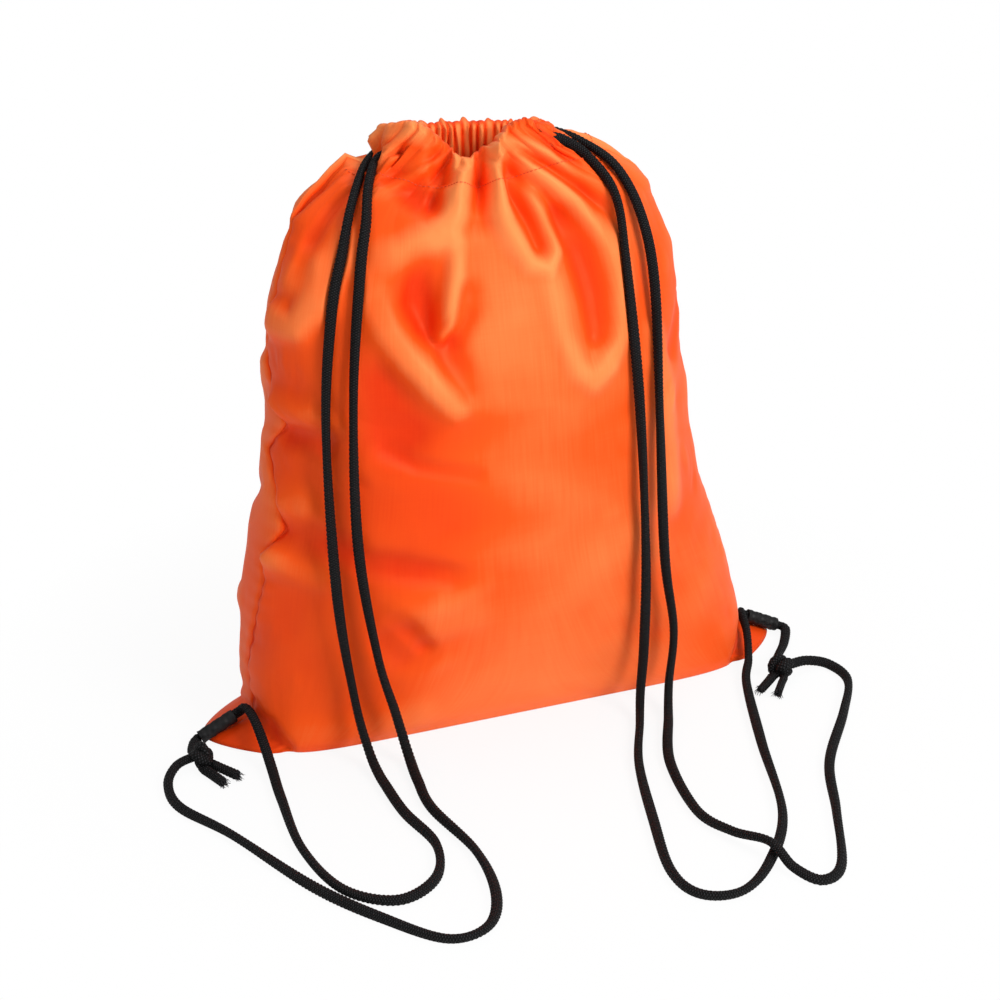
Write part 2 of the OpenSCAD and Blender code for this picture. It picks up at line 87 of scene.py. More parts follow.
# ---------------------------------------------------------------- the bag's form
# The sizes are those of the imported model, in millimetres.
BODY_H = 338
FOOT_W, HIP_W = 304, 320
CORNER_LEN, CORNER_H = 38, 15
MOUTH_W, MOUTH_D, MOUTH_END_R, MOUTH_TURN = 84, 30, 11, 15
LEAN_X, LEAN_Y = 11, 7
LEAN_FOOT, LEAN_CROWN = 0.35, 0.6      # shares of the height over which it leans
CORD_D = 6
LOW_CORD_Z, HIGH_CORD_Z = 343.0, 349.4
SLEEVE_LEN, SLEEVE_START, SLEEVE_T, SLEEVE_GAP = 24, 9, 1.2, 0.15
FIN_W, FIN_T, SEAT_GAP = 2.4, 1.6, 0.5
# Each station is height, half width, half depth and squareness.
STATIONS = np.array([
    [1.2, 152, 45, 7], [17.9, 160, 52, 3.6], [74.4, 154, 62, 2.4], [138.6, 139, 63, 2.3],
    [202.8, 128, 58.5, 2.3], [260.3, 124, 49, 2.3], [304.2, 109.5, 39, 2.2],
    [331.2, 90, 32, 2.1], [338, 42, 15, 2.1]])
LAST = len(STATIONS) - 1
PADDED = np.vstack([2 * STATIONS[0] - STATIONS[1], STATIONS, 2 * STATIONS[-1] - STATIONS[-2]])
END_X = MOUTH_W / 2 - MOUTH_END_R
SIDE_R = ((END_X ** 2 + (MOUTH_D / 2) ** 2 - MOUTH_END_R ** 2)
          / (2 * (MOUTH_D / 2 - MOUTH_END_R)))
SIDE_Y = SIDE_R - MOUTH_D / 2
SIDE_A = math.atan(END_X / SIDE_Y)
END_ARC = MOUTH_END_R * (math.pi / 2 - SIDE_A)
END_SHARE = END_ARC / (2 * END_ARC + 2 * SIDE_R * SIDE_A)
CREST_A = math.atan(CORNER_H / ((FOOT_W - HIP_W) / 2 + CORNER_LEN))
# A lower corner is drawn out over this share of its side, and pinched towards its tip.
CORNER_SHARE = 0.2
TIP_SHARE, PINCH_SHARE, PINCH = 0.012, 0.142, 0.45
# The stations from which the body's rings take on the mouth's form and its turn.
OVAL_T, TURN_T = 6.2, 5.5
RING_OUT = 2.4        # how far outside the ring of cords the body ends


def ease(x):
    """From 0 to 1 as x does, with a gentle start and end."""
    c = np.clip(x, 0, 1)
    return c * c * (3 - 2 * c)


def bump(x):
    """A rounded ridge, 1 at its middle."""
    return np.exp(-x * x)


def pleat_top(x):
    """A ridge with a broader top."""
    return np.exp(-abs(x) ** 2.7)


def spline(a, b, c, d, f):
    """The place at share f between b and c on the smooth curve through all four."""
    return 0.5 * (2 * b + (c - a) * f + (2 * a - 5 * b + 4 * c - d) * f ** 2
                  + (3 * b - a - 3 * c + d) * f ** 3)


def run_along(line):
    """How far each point of a line is from its start, along it."""
    return np.r_[0, np.cumsum(np.linalg.norm(np.diff(line, axis=0), axis=1))]


def section(t):
    """Height, half width, half depth and squareness at t, counted in stations."""
    i = np.clip(np.floor(t).astype(int), 0, LAST - 1)
    return spline(*(PADDED[i + k] for k in range(4)), (t - i)[..., None])


def oval(s, off):
    """The mouth's ring of cords, off further out, at share s: 0 to 1 the front, 1 to 2 the back."""
    s = np.mod(s, 2)
    half = np.where(s <= 1, s, s - 1)
    turn = np.where(s <= 1, 0, math.pi)
    side = np.where(s <= 1, -1, 1)
    mid = -math.pi / 2 - SIDE_A + 2 * SIDE_A * (half - END_SHARE) / (1 - 2 * END_SHARE)
    first = -math.pi + (math.pi / 2 - SIDE_A) * half / END_SHARE
    last = -(math.pi / 2 - SIDE_A) * (1 - half) / END_SHARE
    a = np.where(half < END_SHARE, first, np.where(half > 1 - END_SHARE, last, mid)) + turn
    at_end = (half < END_SHARE) | (half > 1 - END_SHARE)
    cx = np.where(half < END_SHARE, side * END_X, np.where(half > 1 - END_SHARE, -side * END_X, 0))
    cy = np.where(at_end, 0, -side * SIDE_Y)
    r = np.where(at_end, MOUTH_END_R, SIDE_R) + off
    return np.stack([cx + r * np.cos(a), cy + r * np.sin(a)], -1)


def turned(p, degrees):
    """Level places turned about the bag's middle."""
    a = np.radians(degrees)
    c, s = np.cos(a), np.sin(a)
    return np.stack([p[..., 0] * c - p[..., 1] * s, p[..., 0] * s + p[..., 1] * c], -1)


def lean(z):
    """How far the filled bag leans to its side and backwards at a height."""
    return np.stack([-LEAN_X * ease((z - CORNER_H) / (LEAN_FOOT * BODY_H)),
                     LEAN_Y * ease((z - LEAN_CROWN * BODY_H) / ((1 - LEAN_CROWN) * BODY_H))], -1)


def from_seam(s):
    """The share of the way round from the nearer side of the bag."""
    s = np.mod(s, 2)
    return np.minimum(np.minimum(s, abs(s - 1)), abs(s - 2))


def plain(t, s):
    """The smooth skin of the filled bag, in millimetres."""
    q = section(t)
    crest = HIP_W / 2 + (CORNER_H - q[..., 0]) / math.tan(CREST_A)
    w = q[..., 1] + np.maximum(0, crest - q[..., 1] - CORNER_LEN * from_seam(s) / CORNER_SHARE)
    a = -math.pi + math.pi * s
    c, d = np.cos(a), np.sin(a)
    power = 2 / q[..., 3]
    ear = np.clip((crest - q[..., 1]) / CORNER_LEN, 0, 1)
    taper = 1 - ear * (1 - np.minimum(1, (from_seam(s) + TIP_SHARE) / PINCH_SHARE) ** PINCH)
    loop = np.stack([w * np.sign(c) * abs(c) ** power,
                     q[..., 2] * np.sign(d) * abs(d) ** power * taper], -1)
    k = ease((t - OVAL_T) / (LAST - OVAL_T))[..., None]
    flat = loop * (1 - k) + oval(s, RING_OUT) * k
    p = turned(flat, -MOUTH_TURN * ease((t - TURN_T) / (LAST - TURN_T))) + lean(q[..., 0])
    return np.concatenate([p, q[..., :1]], -1)


def at_mouth(p, z):
    """A place given in the mouth ring's own plane, put where the ring stands."""
    w = turned(p, -MOUTH_TURN) + lean(np.asarray(float(BODY_H)))
    return np.concatenate([w, np.broadcast_to(z, w.shape[:-1])[..., None]], -1)


def unit(v):
    return v / np.maximum(np.linalg.norm(v, axis=-1, keepdims=True), 1e-12)


# Over the crown the cloth runs on in one curve to the lip of the hem.
CROWN_T = 6.45        # where the curve leaves the body, in stations
LIP_T = 8.45          # and where it meets the lip
LIP_OUT = 4.6
CROWN_PULL, LIP_PULL = 0.9, 0.8        # how long the curve keeps its way at its two ends
LIP_IN, LIP_UP = 0.72, 0.69            # the way it comes to the lip: inwards and up
# The lip's height round the ring: [share, height].
LIP_HEIGHT = np.array([
    [0.0, 354.0], [0.06, 357.5], [0.13, 360.5], [0.2, 359.5], [0.27, 355.5], [0.34, 352.4],
    [0.6, 352.6], [0.66, 355.0], [0.72, 358.0], [0.8, 359.5], [0.88, 356.5], [0.95, 353.2],
    [1.0, 351.5], [1.2, 350.8], [1.5, 350.6], [1.8, 351.0], [1.93, 352.0], [2.0, 354.0]])
# The front of the lip hangs: where on the ring, over what width, and how far.
SAG_AT, SAG_WIDTH, SAG = 0.45, 0.14, 12.0
SAG_SIDE = 0.16       # the share of the ring beside each end that doesn't hang fully
SAG_OUT = 0.28        # how far it falls outwards for each millimetre down


def sag(s):
    """How far the lip hangs at the front, where the gathers fall outwards."""
    s = np.mod(s, 2)
    return SAG * bump((s - SAG_AT) / SAG_WIDTH) * ease(from_seam(s) / SAG_SIDE) * (s < 1)


def lip(s, out=LIP_OUT, up=0.0):
    """The lip's place at share s, or one further out or up from it."""
    drop = sag(s)
    height = np.interp(np.mod(s, 2), *LIP_HEIGHT.T) + up - drop
    return at_mouth(oval(s, out + SAG_OUT * drop), height)


def base(t, s):
    """The cloth without its folds: the body up to the crown, then the curve to the lip."""
    body = plain(np.minimum(t, CROWN_T), s)
    f = np.clip((t - CROWN_T) / (LIP_T - CROWN_T), 0, 1)[..., None]
    start = plain(np.full_like(t, CROWN_T), s)
    ahead = unit(start - plain(np.full_like(t, CROWN_T - 0.05), s))
    finish = lip(s)
    gap = np.linalg.norm(finish - start, axis=-1, keepdims=True)
    outward = unit((start - finish) * (1, 1, 0))
    last = unit(-LIP_IN * outward + (0, 0, LIP_UP))
    a, b = ahead * gap * CROWN_PULL, last * gap * LIP_PULL
    curve = ((2 * f ** 3 - 3 * f ** 2 + 1) * start + (f ** 3 - 2 * f ** 2 + f) * a
             + (3 * f ** 2 - 2 * f ** 3) * finish + (f ** 3 - f ** 2) * b)
    return np.where((t > CROWN_T)[..., None], curve, body)


# ---------------------------------------------------------------- the cords' routes
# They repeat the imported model's routes, in millimetres.
# How far a cord runs straight out of the hem, on from a sleeve and into one.
STRAIGHT_OUT, STRAIGHT_ON, STRAIGHT_IN = 9, 2, 4
FLOOR_GAP = 0.2       # the cords lie this far over the floor
LEFT_KNOT = (-198, -34, 8)
RIGHT_KNOT = (166, -64, 8)
ROUTES = {
    "left_strap_to_sleeve": [
        (-60, 25, 342), (-74.5, 11, 337.5), (-90, -11, 323.5), (-100, -23.5, 302),
        (-110.5, -32.5, 268.5), (-119, -43, 205), (-120, -57, 110), (-112, -59, 42),
        (-107, -67, 11), (-107, -90, 3.2), (-107, -128, 3.2), (-102, -166, 3.2),
        (-114, -197, 3.2), (-140, -209, 3.2), (-164, -188, 3.2), (-172, -142, 3.2),
        (-167, -88, 3.2), (-163, -58, 4.5), (-162, -38, 12), (-162.5, -22.5, 19),
        (-164, -11, 21)],
    "left_strap_to_knot": [
        (-67, 9, 342), (-78, -6, 332), (-85, -21, 316), (-93, -32, 290), (-104, -48, 225),
        (-107, -58, 140), (-99, -64, 70), (-89, -65, 30), (-85, -74, 7), (-88, -98, 3.2),
        (-91, -130, 3.2), (-84, -180, 3.2), (-89, -222, 3.2), (-104, -249, 3.2),
        (-128, -252, 3.2), (-153, -222, 3.2), (-178, -180, 3.2), (-204, -114, 3.2),
        (-223, -76, 3.2), (-223, -50, 3.4), (-214, -35, 5.5), (-203, -33, 8)],
    "right_strap_to_sleeve": [
        (38, -11, 346), (51, -15, 336), (61.5, -29, 317.5), (66, -36, 282), (68, -55, 200),
        (70, -65, 105), (70, -66, 45), (66, -71, 15), (58, -88, 3.2), (38, -130, 3.2),
        (20, -188, 3.2), (7, -238, 3.2), (12, -264, 3.2), (34, -270, 3.2), (61, -250, 3.2),
        (91, -208, 3.2), (116, -134, 3.2), (140, -68, 3.2), (153, -45, 6.5), (160.5, -27, 15.5),
        (164, -12, 20.5)],
    "right_strap_to_knot": [
        (50, -4, 343), (66.5, -19, 330), (79, -28, 302), (84, -38, 262), (82, -54, 185),
        (83, -64, 100), (90, -65, 50), (86, -69, 16), (77, -88, 3.2), (56, -134, 3.2),
        (47, -188, 3.2), (54, -218, 5.5), (65, -242, 10.2), (69, -262, 5), (79, -277, 3.2),
        (96, -267, 3.2), (120, -218, 3.2), (142, -170, 3.2), (178, -122, 3.2), (200, -88, 3.2),
        (199, -66, 3.6), (186, -60, 6), (171, -64, 8)],
    "left_cord_to_knot": [
        (-197, -11, 3.2), (-200, -20, 4), (-198, -28, 7)],
    "right_cord_to_knot": [
        (196, -13, 3.2), (186, -30, 3.2), (172, -48, 5.5), (167, -58, 8)],
}
# The hem exits of the straps: share of the ring, way along it, height.
EXITS = {
    "left_strap_to_sleeve": (2 - END_SHARE, 1, LOW_CORD_Z),
    "left_strap_to_knot": (END_SHARE, -1, LOW_CORD_Z),
    "right_strap_to_sleeve": (1 - END_SHARE, 1, HIGH_CORD_Z),
    "right_strap_to_knot": (1 + END_SHARE, -1, HIGH_CORD_Z),
}


def ring_way(s):
    """The way along the ring at share s."""
    return unit(oval(np.asarray(s + 1e-4), 0) - oval(np.asarray(s - 1e-4), 0))


BORE_R = CORD_D / 2 + SLEEVE_GAP
SLEEVE_R = BORE_R + SLEEVE_T
SLEEVE_Y, SLEEVE_Z = -(SLEEVE_R + FIN_W), SLEEVE_R - FIN_T / 2


def crest_place(side, x, y, z):
    """From a corner crest's own axes: x from the sleeve's inner end, y across, z off the crest."""
    c, s = math.cos(CREST_A), math.sin(CREST_A)
    up = z + FIN_T / 2 + SEAT_GAP
    along = SLEEVE_START + x
    return np.array([side * (HIP_W / 2 + along * c + up * s), y, CORNER_H - along * s + up * c])


def sleeve_at(side, x):
    """A place on a sleeve's axis, x from its inner end."""
    return crest_place(side, x, SLEEVE_Y, SLEEVE_Z)


def smooth_line(points, step=0.65):
    """One smooth curve through the points, cut into equal steps of about this length."""
    p = np.array(points, float)
    p = np.vstack([2 * p[0] - p[1], p, 2 * p[-1] - p[-2]])
    f = np.linspace(0, 1, 24, endpoint=False)[:, None]
    parts = [spline(*p[i:i + 4], f) for i in range(len(p) - 3)]
    line = np.vstack(parts + [p[-2:-1]])
    line[:, 2] = np.maximum(line[:, 2], CORD_D / 2 + FLOOR_GAP)
    run = run_along(line)
    at = np.linspace(0, run[-1], max(4, int(run[-1] / step)) + 1)
    return np.stack([np.interp(at, run, line[:, k]) for k in range(3)], 1)


def strap_route(name):
    """A strand's whole route, from the hem or the sleeve to the sleeve or through the knot."""
    side = LEFT if name.startswith("left") else RIGHT
    if name in EXITS:
        s, way, z = EXITS[name]
        out = [at_mouth(oval(np.asarray(s), 0) + ahead * way * ring_way(s), z)
               for ahead in (0, STRAIGHT_OUT)]
    else:
        out = [sleeve_at(side, SLEEVE_LEN + SEAT_GAP + ahead) for ahead in (0, STRAIGHT_ON)]
    into = [sleeve_at(side, -STRAIGHT_IN), sleeve_at(side, 0)]
    if name.endswith("knot"):
        into = through_knot(name)
    return out + [np.array(p, float) for p in ROUTES[name]] + into


KNOT_R = 7.5
TAIL_LEN = 20
TAIL_SPLAY = 6        # degrees that each tail turns away from the other
# Where a tail leaves its knot: ahead, as a share of the knot's radius, and beside, of the cord.
TAIL_AHEAD, TAIL_BESIDE = 0.6, 0.54
# Each knot's centre, the way its tails lie in degrees, and how its turns are turned.
KNOTS = {"left": (LEFT_KNOT, -66, (20, 65, 10)), "right": (RIGHT_KNOT, -134, (-25, 60, 40))}


def through_knot(name):
    """The end of a cord: through the knot and along its tail on the floor."""
    word = name.split("_")[0]
    centre, way, _ = KNOTS[word]
    side = -1 if (name == f"{word}_cord_to_knot") == (word == "left") else 1
    lay, angle = math.radians(way), math.radians(way + side * TAIL_SPLAY)
    ahead = np.array([math.cos(lay), math.sin(lay), 0])
    beside = np.array([-math.sin(lay), math.cos(lay), 0])
    along = np.array([math.cos(angle), math.sin(angle), 0])
    root = np.array(centre) + TAIL_AHEAD * KNOT_R * ahead + side * TAIL_BESIDE * CORD_D * beside
    root[2] = CORD_D / 2 + FLOOR_GAP
    return [np.array(centre, float)] + [root + x * along for x in (0, 7, 14, TAIL_LEN)]


# ---------------------------------------------------------------- meshes
def link(mesh, name):
    """An object of the scene with this mesh."""
    piece = bpy.data.objects.new(name, mesh)
    bpy.context.scene.collection.objects.link(piece)
    return piece


def mesh_piece(name, points, faces, material, uv=None, wraps=False):
    """A smooth piece from points in millimetres. uv holds one pair for each point, and wraps
    says that its second number runs round a tube and starts again at 1."""
    mesh = bpy.data.meshes.new(name)
    mesh.from_pydata((np.asarray(points) * MM).tolist(), [], [list(map(int, f)) for f in faces])
    mesh.materials.append(material)
    if uv is not None:
        layer = mesh.uv_layers.new(name="UVMap")
        corner = np.empty(len(mesh.loops), int)
        mesh.loops.foreach_get("vertex_index", corner)
        pairs = np.asarray(uv, np.float32)[corner]
        if wraps:
            starts = np.array([p.loop_start for p in mesh.polygons])
            most = np.maximum.reduceat(pairs[:, 1], starts)
            face = np.repeat(np.arange(len(starts)), np.diff(np.r_[starts, len(corner)]))
            pairs[(pairs[:, 1] < 0.25) & (most[face] > 0.75), 1] += 1
        layer.data.foreach_set("uv", pairs.ravel())
    mesh.polygons.foreach_set("use_smooth", [True] * len(mesh.polygons))
    mesh.update()
    return link(mesh, name)


def grid_faces(rows, cols, keep=None):
    """The faces between rows of points, or those of them to keep."""
    i, j = np.meshgrid(np.arange(rows - 1), np.arange(cols - 1), indexing="ij")
    a = i * cols + j
    faces = np.stack([a, a + 1, a + cols + 1, a + cols], -1).reshape(-1, 4)
    return faces if keep is None else faces[keep.ravel()]


def between(a, b, count):
    """Faces from the ring of points that starts at a to the ring that starts at b."""
    return [(a + k, a + (k + 1) % count, b + (k + 1) % count, b + k) for k in range(count)]


def walls(rings, count, start=0):
    """The side faces of a tube made of rings of so many points each."""
    return [face for i in range(rings - 1)
            for face in between(start + i * count, start + (i + 1) * count, count)]


def flipped(faces):
    """The same faces, turned to look the other way."""
    return [(face[0], *face[:0:-1]) for face in faces]


def carried(line):
    """Tangents and two steady cross directions along a line."""
    t = unit(np.gradient(line, axis=0))
    n = np.empty_like(t)
    first = np.cross(t[0], (0, 0, 1.0))
    n[0] = unit(first if np.linalg.norm(first) > 0.1 else np.cross(t[0], (1.0, 0, 0)))
    for i in range(1, len(t)):
        n[i] = unit(n[i - 1] - (n[i - 1] @ t[i]) * t[i])
    return t, n, np.cross(t, n)


BRAID_SIDES = 20
BRAID_PLAITS = 4
BRAID_PITCH = 5.2     # the length of one plait
BRAID_RELIEF = 0.3
BRAID_R = 2.8
STITCH_PITCH = 3.0    # the length of one stitch in the braid's colour


def braid_relief(angle, along):
    """Height of the plaited yarns, from -1 in the joints to 1 on their crowns."""
    turn, climb = BRAID_PLAITS * angle / 2, TAU * along / BRAID_PITCH
    return abs(np.cos(turn + climb)) + abs(np.cos(turn - climb)) - 1.0


def braided_tube(name, line, material, radius=BRAID_R, flat=0.12, turn=0.0):
    """A closed tube of braided cord along a line. flat is how oval it is, turn which way."""
    _, n, b = carried(line)
    run = run_along(line)
    a = np.arange(BRAID_SIDES)[None, :] * TAU / BRAID_SIDES
    u = run[:, None]
    squash = 1 + flat * np.cos(2 * (a - turn - 0.02 * u))
    r = (radius - BRAID_RELIEF * 0.6 + BRAID_RELIEF * braid_relief(a, u)) * squash
    points = (line[:, None] + r[..., None] * (np.cos(a)[..., None] * n[:, None]
                                              + np.sin(a)[..., None] * b[:, None]))
    points = np.vstack([points.reshape(-1, 3), line[:1], line[-1:]])
    cols, top = BRAID_SIDES, len(line) * BRAID_SIDES
    faces = walls(len(line), cols)
    faces += [(top, (k + 1) % cols, k) for k in range(cols)]
    faces += [(top + 1, top - cols + k, top - cols + (k + 1) % cols) for k in range(cols)]
    uv = np.stack(np.broadcast_arrays(u, a / TAU), -1).reshape(-1, 2)
    uv = np.vstack([uv, [[0, 0]], [[run[-1], 0]]])
    return mesh_piece(name, points, faces, material, uv, wraps=True)


# ---------------------------------------------------------------- shaders
class Value:
    """A node's output as a number in an expression."""

    def __init__(self, nodes, socket):
        self.nodes, self.socket = nodes, socket

    def __add__(self, other):
        return self.nodes.maths("ADD", self, other)

    def __radd__(self, other):
        return self.nodes.maths("ADD", other, self)

    def __sub__(self, other):
        return self.nodes.maths("SUBTRACT", self, other)

    def __rsub__(self, other):
        return self.nodes.maths("SUBTRACT", other, self)

    def __mul__(self, other):
        return self.nodes.maths("MULTIPLY", self, other)

    def __pow__(self, other):
        return self.nodes.maths("POWER", self, other)


class Nodes:
    """Builds the nodes of a material, of the world or of a node group."""

    def __init__(self, owner):
        self.owner, self.tree = owner, owner
        if not isinstance(owner, bpy.types.NodeTree):
            owner.use_nodes = True
            self.tree = owner.node_tree
        self.tree.nodes.clear()

    def add(self, kind, settings=None, **sockets):
        """A node with its settings, where stops are a colour ramp's, and its inputs by name."""
        node = self.tree.nodes.new(kind)
        for key, value in (settings or {}).items():
            if key == "stops":
                ramp = node.color_ramp
                while len(ramp.elements) < len(value):
                    ramp.elements.new(0.5)
                for stop, (place, colour) in zip(ramp.elements, value):
                    stop.position, stop.color = place, (*colour, 1)
            else:
                setattr(node, key, value)
        for key, value in sockets.items():
            self.put(node.inputs[key.replace("_", " ")], value)
        return node

    def put(self, socket, value):
        """Links an input to an output, or gives it a value."""
        if isinstance(value, Value):
            value = value.socket
        if isinstance(value, bpy.types.NodeSocket):
            self.tree.links.new(value, socket)
        else:
            socket.default_value = value

    def maths(self, operation, *values):
        node = self.tree.nodes.new("ShaderNodeMath")
        node.operation = operation
        for socket, value in zip(node.inputs, values):
            self.put(socket, value)
        return Value(self, node.outputs[0])

    def value(self, socket):
        return Value(self, socket)

    def shades(self, factor, colour, dark, light):
        """From a darker to a lighter shade of a colour, each as a share of it."""
        node = self.tree.nodes.new("ShaderNodeMix")
        node.data_type = "RGBA"
        self.put(node.inputs[0], factor)
        for socket, share in ((6, dark), (7, light)):
            self.put(node.inputs[socket], (*(min(1, c * share) for c in colour), 1))
        return node.outputs[2]

    def either(self, factor, one, other):
        """One shader where factor is 0, the other where it is 1."""
        node = self.tree.nodes.new("ShaderNodeMixShader")
        for socket, value in zip(node.inputs, (factor, one.outputs[0], other.outputs[0])):
            self.put(socket, value)
        return node

    def noise(self, vector, scale, detail=2.0, roughness=0.5):
        node = self.add("ShaderNodeTexNoise", Vector=vector, Scale=scale, Detail=detail,
                        Roughness=roughness)
        return Value(self, node.outputs["Fac"])

    def stretched(self, vector, scale):
        node = self.add("ShaderNodeMapping", Vector=vector, Scale=scale)
        return node.outputs["Vector"]

    def uv(self):
        return self.add("ShaderNodeUVMap", {"uv_map": "UVMap"}).outputs["UV"]

    def place(self):
        return self.add("ShaderNodeTexCoord").outputs["Object"]

    def bumped(self, height, distance, strength=1.0):
        return self.add("ShaderNodeBump", Height=height, Distance=distance,
                        Strength=strength).outputs["Normal"]

    def finish(self, shader, output="ShaderNodeOutputMaterial"):
        self.put(self.add(output).inputs["Surface"], shader.outputs[0])
        return self.owner


THREAD_PITCH = 1.1    # millimetres from one thread of the nylon to the next
# The nylon's painted shade, redder, and its painted highlight, each as shares of its colour.
NYLON_PAINTED_SHADE, NYLON_PAINTED_HIGHLIGHT = (0.84, 0.34, 0.25), (1.04, 3.2, 14.0)    # shares of its colour


def nylon(name, colour, sheen):
    """Thin glossy nylon: a fine weave, with painted shade in its hollows and a painted highlight on
    its folds.
    """
    n = Nodes(bpy.data.materials.new(name))
    uv, place = n.uv(), n.place()
    split = n.add("ShaderNodeSeparateXYZ", Vector=uv)
    x, y = n.value(split.outputs[0]), n.value(split.outputs[1])
    warp = n.noise(n.stretched(uv, (0.7, 0.02, 1)), 1.0, 3.0, 0.6)
    weft = n.noise(n.stretched(uv, (0.02, 0.9, 1)), 1.0, 3.0, 0.6)
    wide = n.noise(place, 7.0, 2.0)
    ribs = (n.maths("SINE", x * (TAU / THREAD_PITCH))
            * n.maths("SINE", y * (TAU / THREAD_PITCH)))
    # The fold attribute carries painted light and shade: the ramp runs from painted shade through the
    # plain colour to a painted highlight, and the noises add random tone.
    fold = n.value(n.add("ShaderNodeAttribute", {"attribute_name": "fold"}).outputs["Fac"])
    tone = 0.5 + fold * 0.5 + (wide - 0.5) * 0.3 + (warp - 0.5) * 0.18 + (weft - 0.5) * 0.06
    deep, pale = (tuple(min(1, c * k) for c, k in zip(colour, shares))
                  for shares in (NYLON_PAINTED_SHADE, NYLON_PAINTED_HIGHLIGHT))
    ramp = n.add("ShaderNodeValToRGB", {"stops": [(0.0, deep), (0.5, colour), (1.0, pale)]},
                 Fac=tone)
    shader = n.add("ShaderNodeBsdfPrincipled", Base_Color=ramp.outputs["Color"],
                   Roughness=0.5 + (warp - 0.5) * 0.12,
                   Normal=n.bumped(warp * 0.5 + weft * 0.35 + ribs * 0.12, 0.00012, 0.6))
    shader.inputs["Sheen Weight"].default_value = sheen
    shader.inputs["Sheen Roughness"].default_value = 0.4
    shader.inputs["Sheen Tint"].default_value = (1.0, 0.35, 0.12, 1)
    shader.inputs["Specular IOR Level"].default_value = 0.5
    shader.inputs["Specular Tint"].default_value = (1.0, 0.5, 0.22, 1)
    return n.finish(shader)


def braid(name, colour):
    """Black braided cord: small plaited stitches, with a painted highlight on their crowns and painted
    shade in the joints between them.
    """
    n = Nodes(bpy.data.materials.new(name))
    split = n.add("ShaderNodeSeparateXYZ", Vector=n.uv())
    along, angle = n.value(split.outputs[0]), n.value(split.outputs[1]) * TAU
    climb = along * (TAU / STITCH_PITCH)
    a = n.maths("ABSOLUTE", n.maths("COSINE", angle * 3 + climb))
    b = n.maths("ABSOLUTE", n.maths("COSINE", angle * 3 - climb))
    crown = a * b
    fibre = n.noise(n.place(), 2600.0, 2.0)
    # painted highlight on the crowns, painted shade in the joints, and random fibre tone
    tone = n.maths("MAXIMUM", crown ** 3 * 1.1 + (fibre - 0.5) * 0.25, 0.0)
    shader = n.add("ShaderNodeBsdfPrincipled", Base_Color=n.shades(tone, colour, 0.3, 9),
                   Roughness=0.74 - crown * 0.22,
                   Normal=n.bumped(crown + fibre * 0.2, 0.0005, 0.9))
    shader.inputs["Specular IOR Level"].default_value = 0.18
    return n.finish(shader)


def coated(name, colour):
    """Coated black cloth of the corner sleeves: a soft sheen over a faint grain."""
    n = Nodes(bpy.data.materials.new(name))
    place = n.place()
    grain = n.value(n.add("ShaderNodeTexVoronoi", Vector=place, Scale=2400.0).outputs["Distance"])
    soft = n.noise(place, 160.0, 3.0)
    shader = n.add("ShaderNodeBsdfPrincipled", Base_Color=n.shades(soft, colour, 0.5, 1.8),
                   Roughness=0.42 + soft * 0.2,
                   Normal=n.bumped(grain * 0.4 + soft, 0.00008, 0.5))
    shader.inputs["Specular IOR Level"].default_value = 0.25
    return n.finish(shader)


def spun(name, colour):
    """Spun sewing thread, a little fuzzy."""
    n = Nodes(bpy.data.materials.new(name))
    twist = n.noise(n.place(), 1800.0, 2.0)
    shader = n.add("ShaderNodeBsdfPrincipled", Base_Color=n.shades(twist, colour, 0.75, 1.15),
                   Roughness=0.5 + twist * 0.2,
                   Normal=n.bumped(twist, 0.0001, 0.6))
    return n.finish(shader)


# ---------------------------------------------------------------- sizes and colours
class SackCloth(bpy.types.PropertyGroup):
    colour: FloatVectorProperty(
        name="Colour", description="Colour of the nylon", subtype="COLOR",
        default=(0.96, 0.085, 0.0055), min=0, max=1)
    sheen: FloatProperty(name="Sheen", description="Weight of the cloth's sheen",
                         default=0.15, min=0, max=1)
    cut_width: FloatProperty(name="Cut width", description="Width of a panel before sewing",
                             default=0.350, unit="LENGTH")
    cut_height: FloatProperty(name="Cut height", description="Height of a panel, with its hem",
                              default=0.400, unit="LENGTH")
    thickness: FloatProperty(name="Thickness", description="Thickness of the cloth",
                             default=0.0006, unit="LENGTH")
    columns: IntProperty(name="Columns", description="Mesh points across one panel",
                         default=288, min=40)
    rows: IntProperty(name="Rows", description="Mesh points up one panel",
                      default=150, min=40)


class SackCords(bpy.types.PropertyGroup):
    colour: FloatVectorProperty(
        name="Colour", description="Colour of the braid", subtype="COLOR",
        default=(0.003, 0.003, 0.0033), min=0, max=1)
    diameter: FloatProperty(name="Diameter", description="Diameter of the braided cord",
                            default=CORD_D * MM, unit="LENGTH")


class SackFittings(bpy.types.PropertyGroup):
    sleeve_colour: FloatVectorProperty(
        name="Sleeve colour", description="Colour of the coated sleeves", subtype="COLOR",
        default=(0.006, 0.006, 0.0065), min=0, max=1)
    thread_colour: FloatVectorProperty(
        name="Thread colour", description="Colour of the hem's thread", subtype="COLOR",
        default=(0.80, 0.075, 0.012), min=0, max=1)


class SackStudio(bpy.types.PropertyGroup):
    key_power: FloatProperty(name="Key light", description="Power of the large key light",
                             default=31.0, min=0)
    fill_power: FloatProperty(name="Fill light", description="Power of the fill light",
                              default=5.0, min=0)
    sky: FloatProperty(name="Sky", description="Strength of the even light all round",
                       default=0.36, min=0)


# ---------------------------------------------------------------- the stage and camera
WHITE = (1, 1, 1, 1)
FLOOR_HALF = 6000
# The floor goes from a very pale grey under the sack to white, by so much for each metre.
FLOOR_NEAR, FLOOR_GROWS = 0.83, 0.5
LIT_PLACE = (0, 0, 0.17)


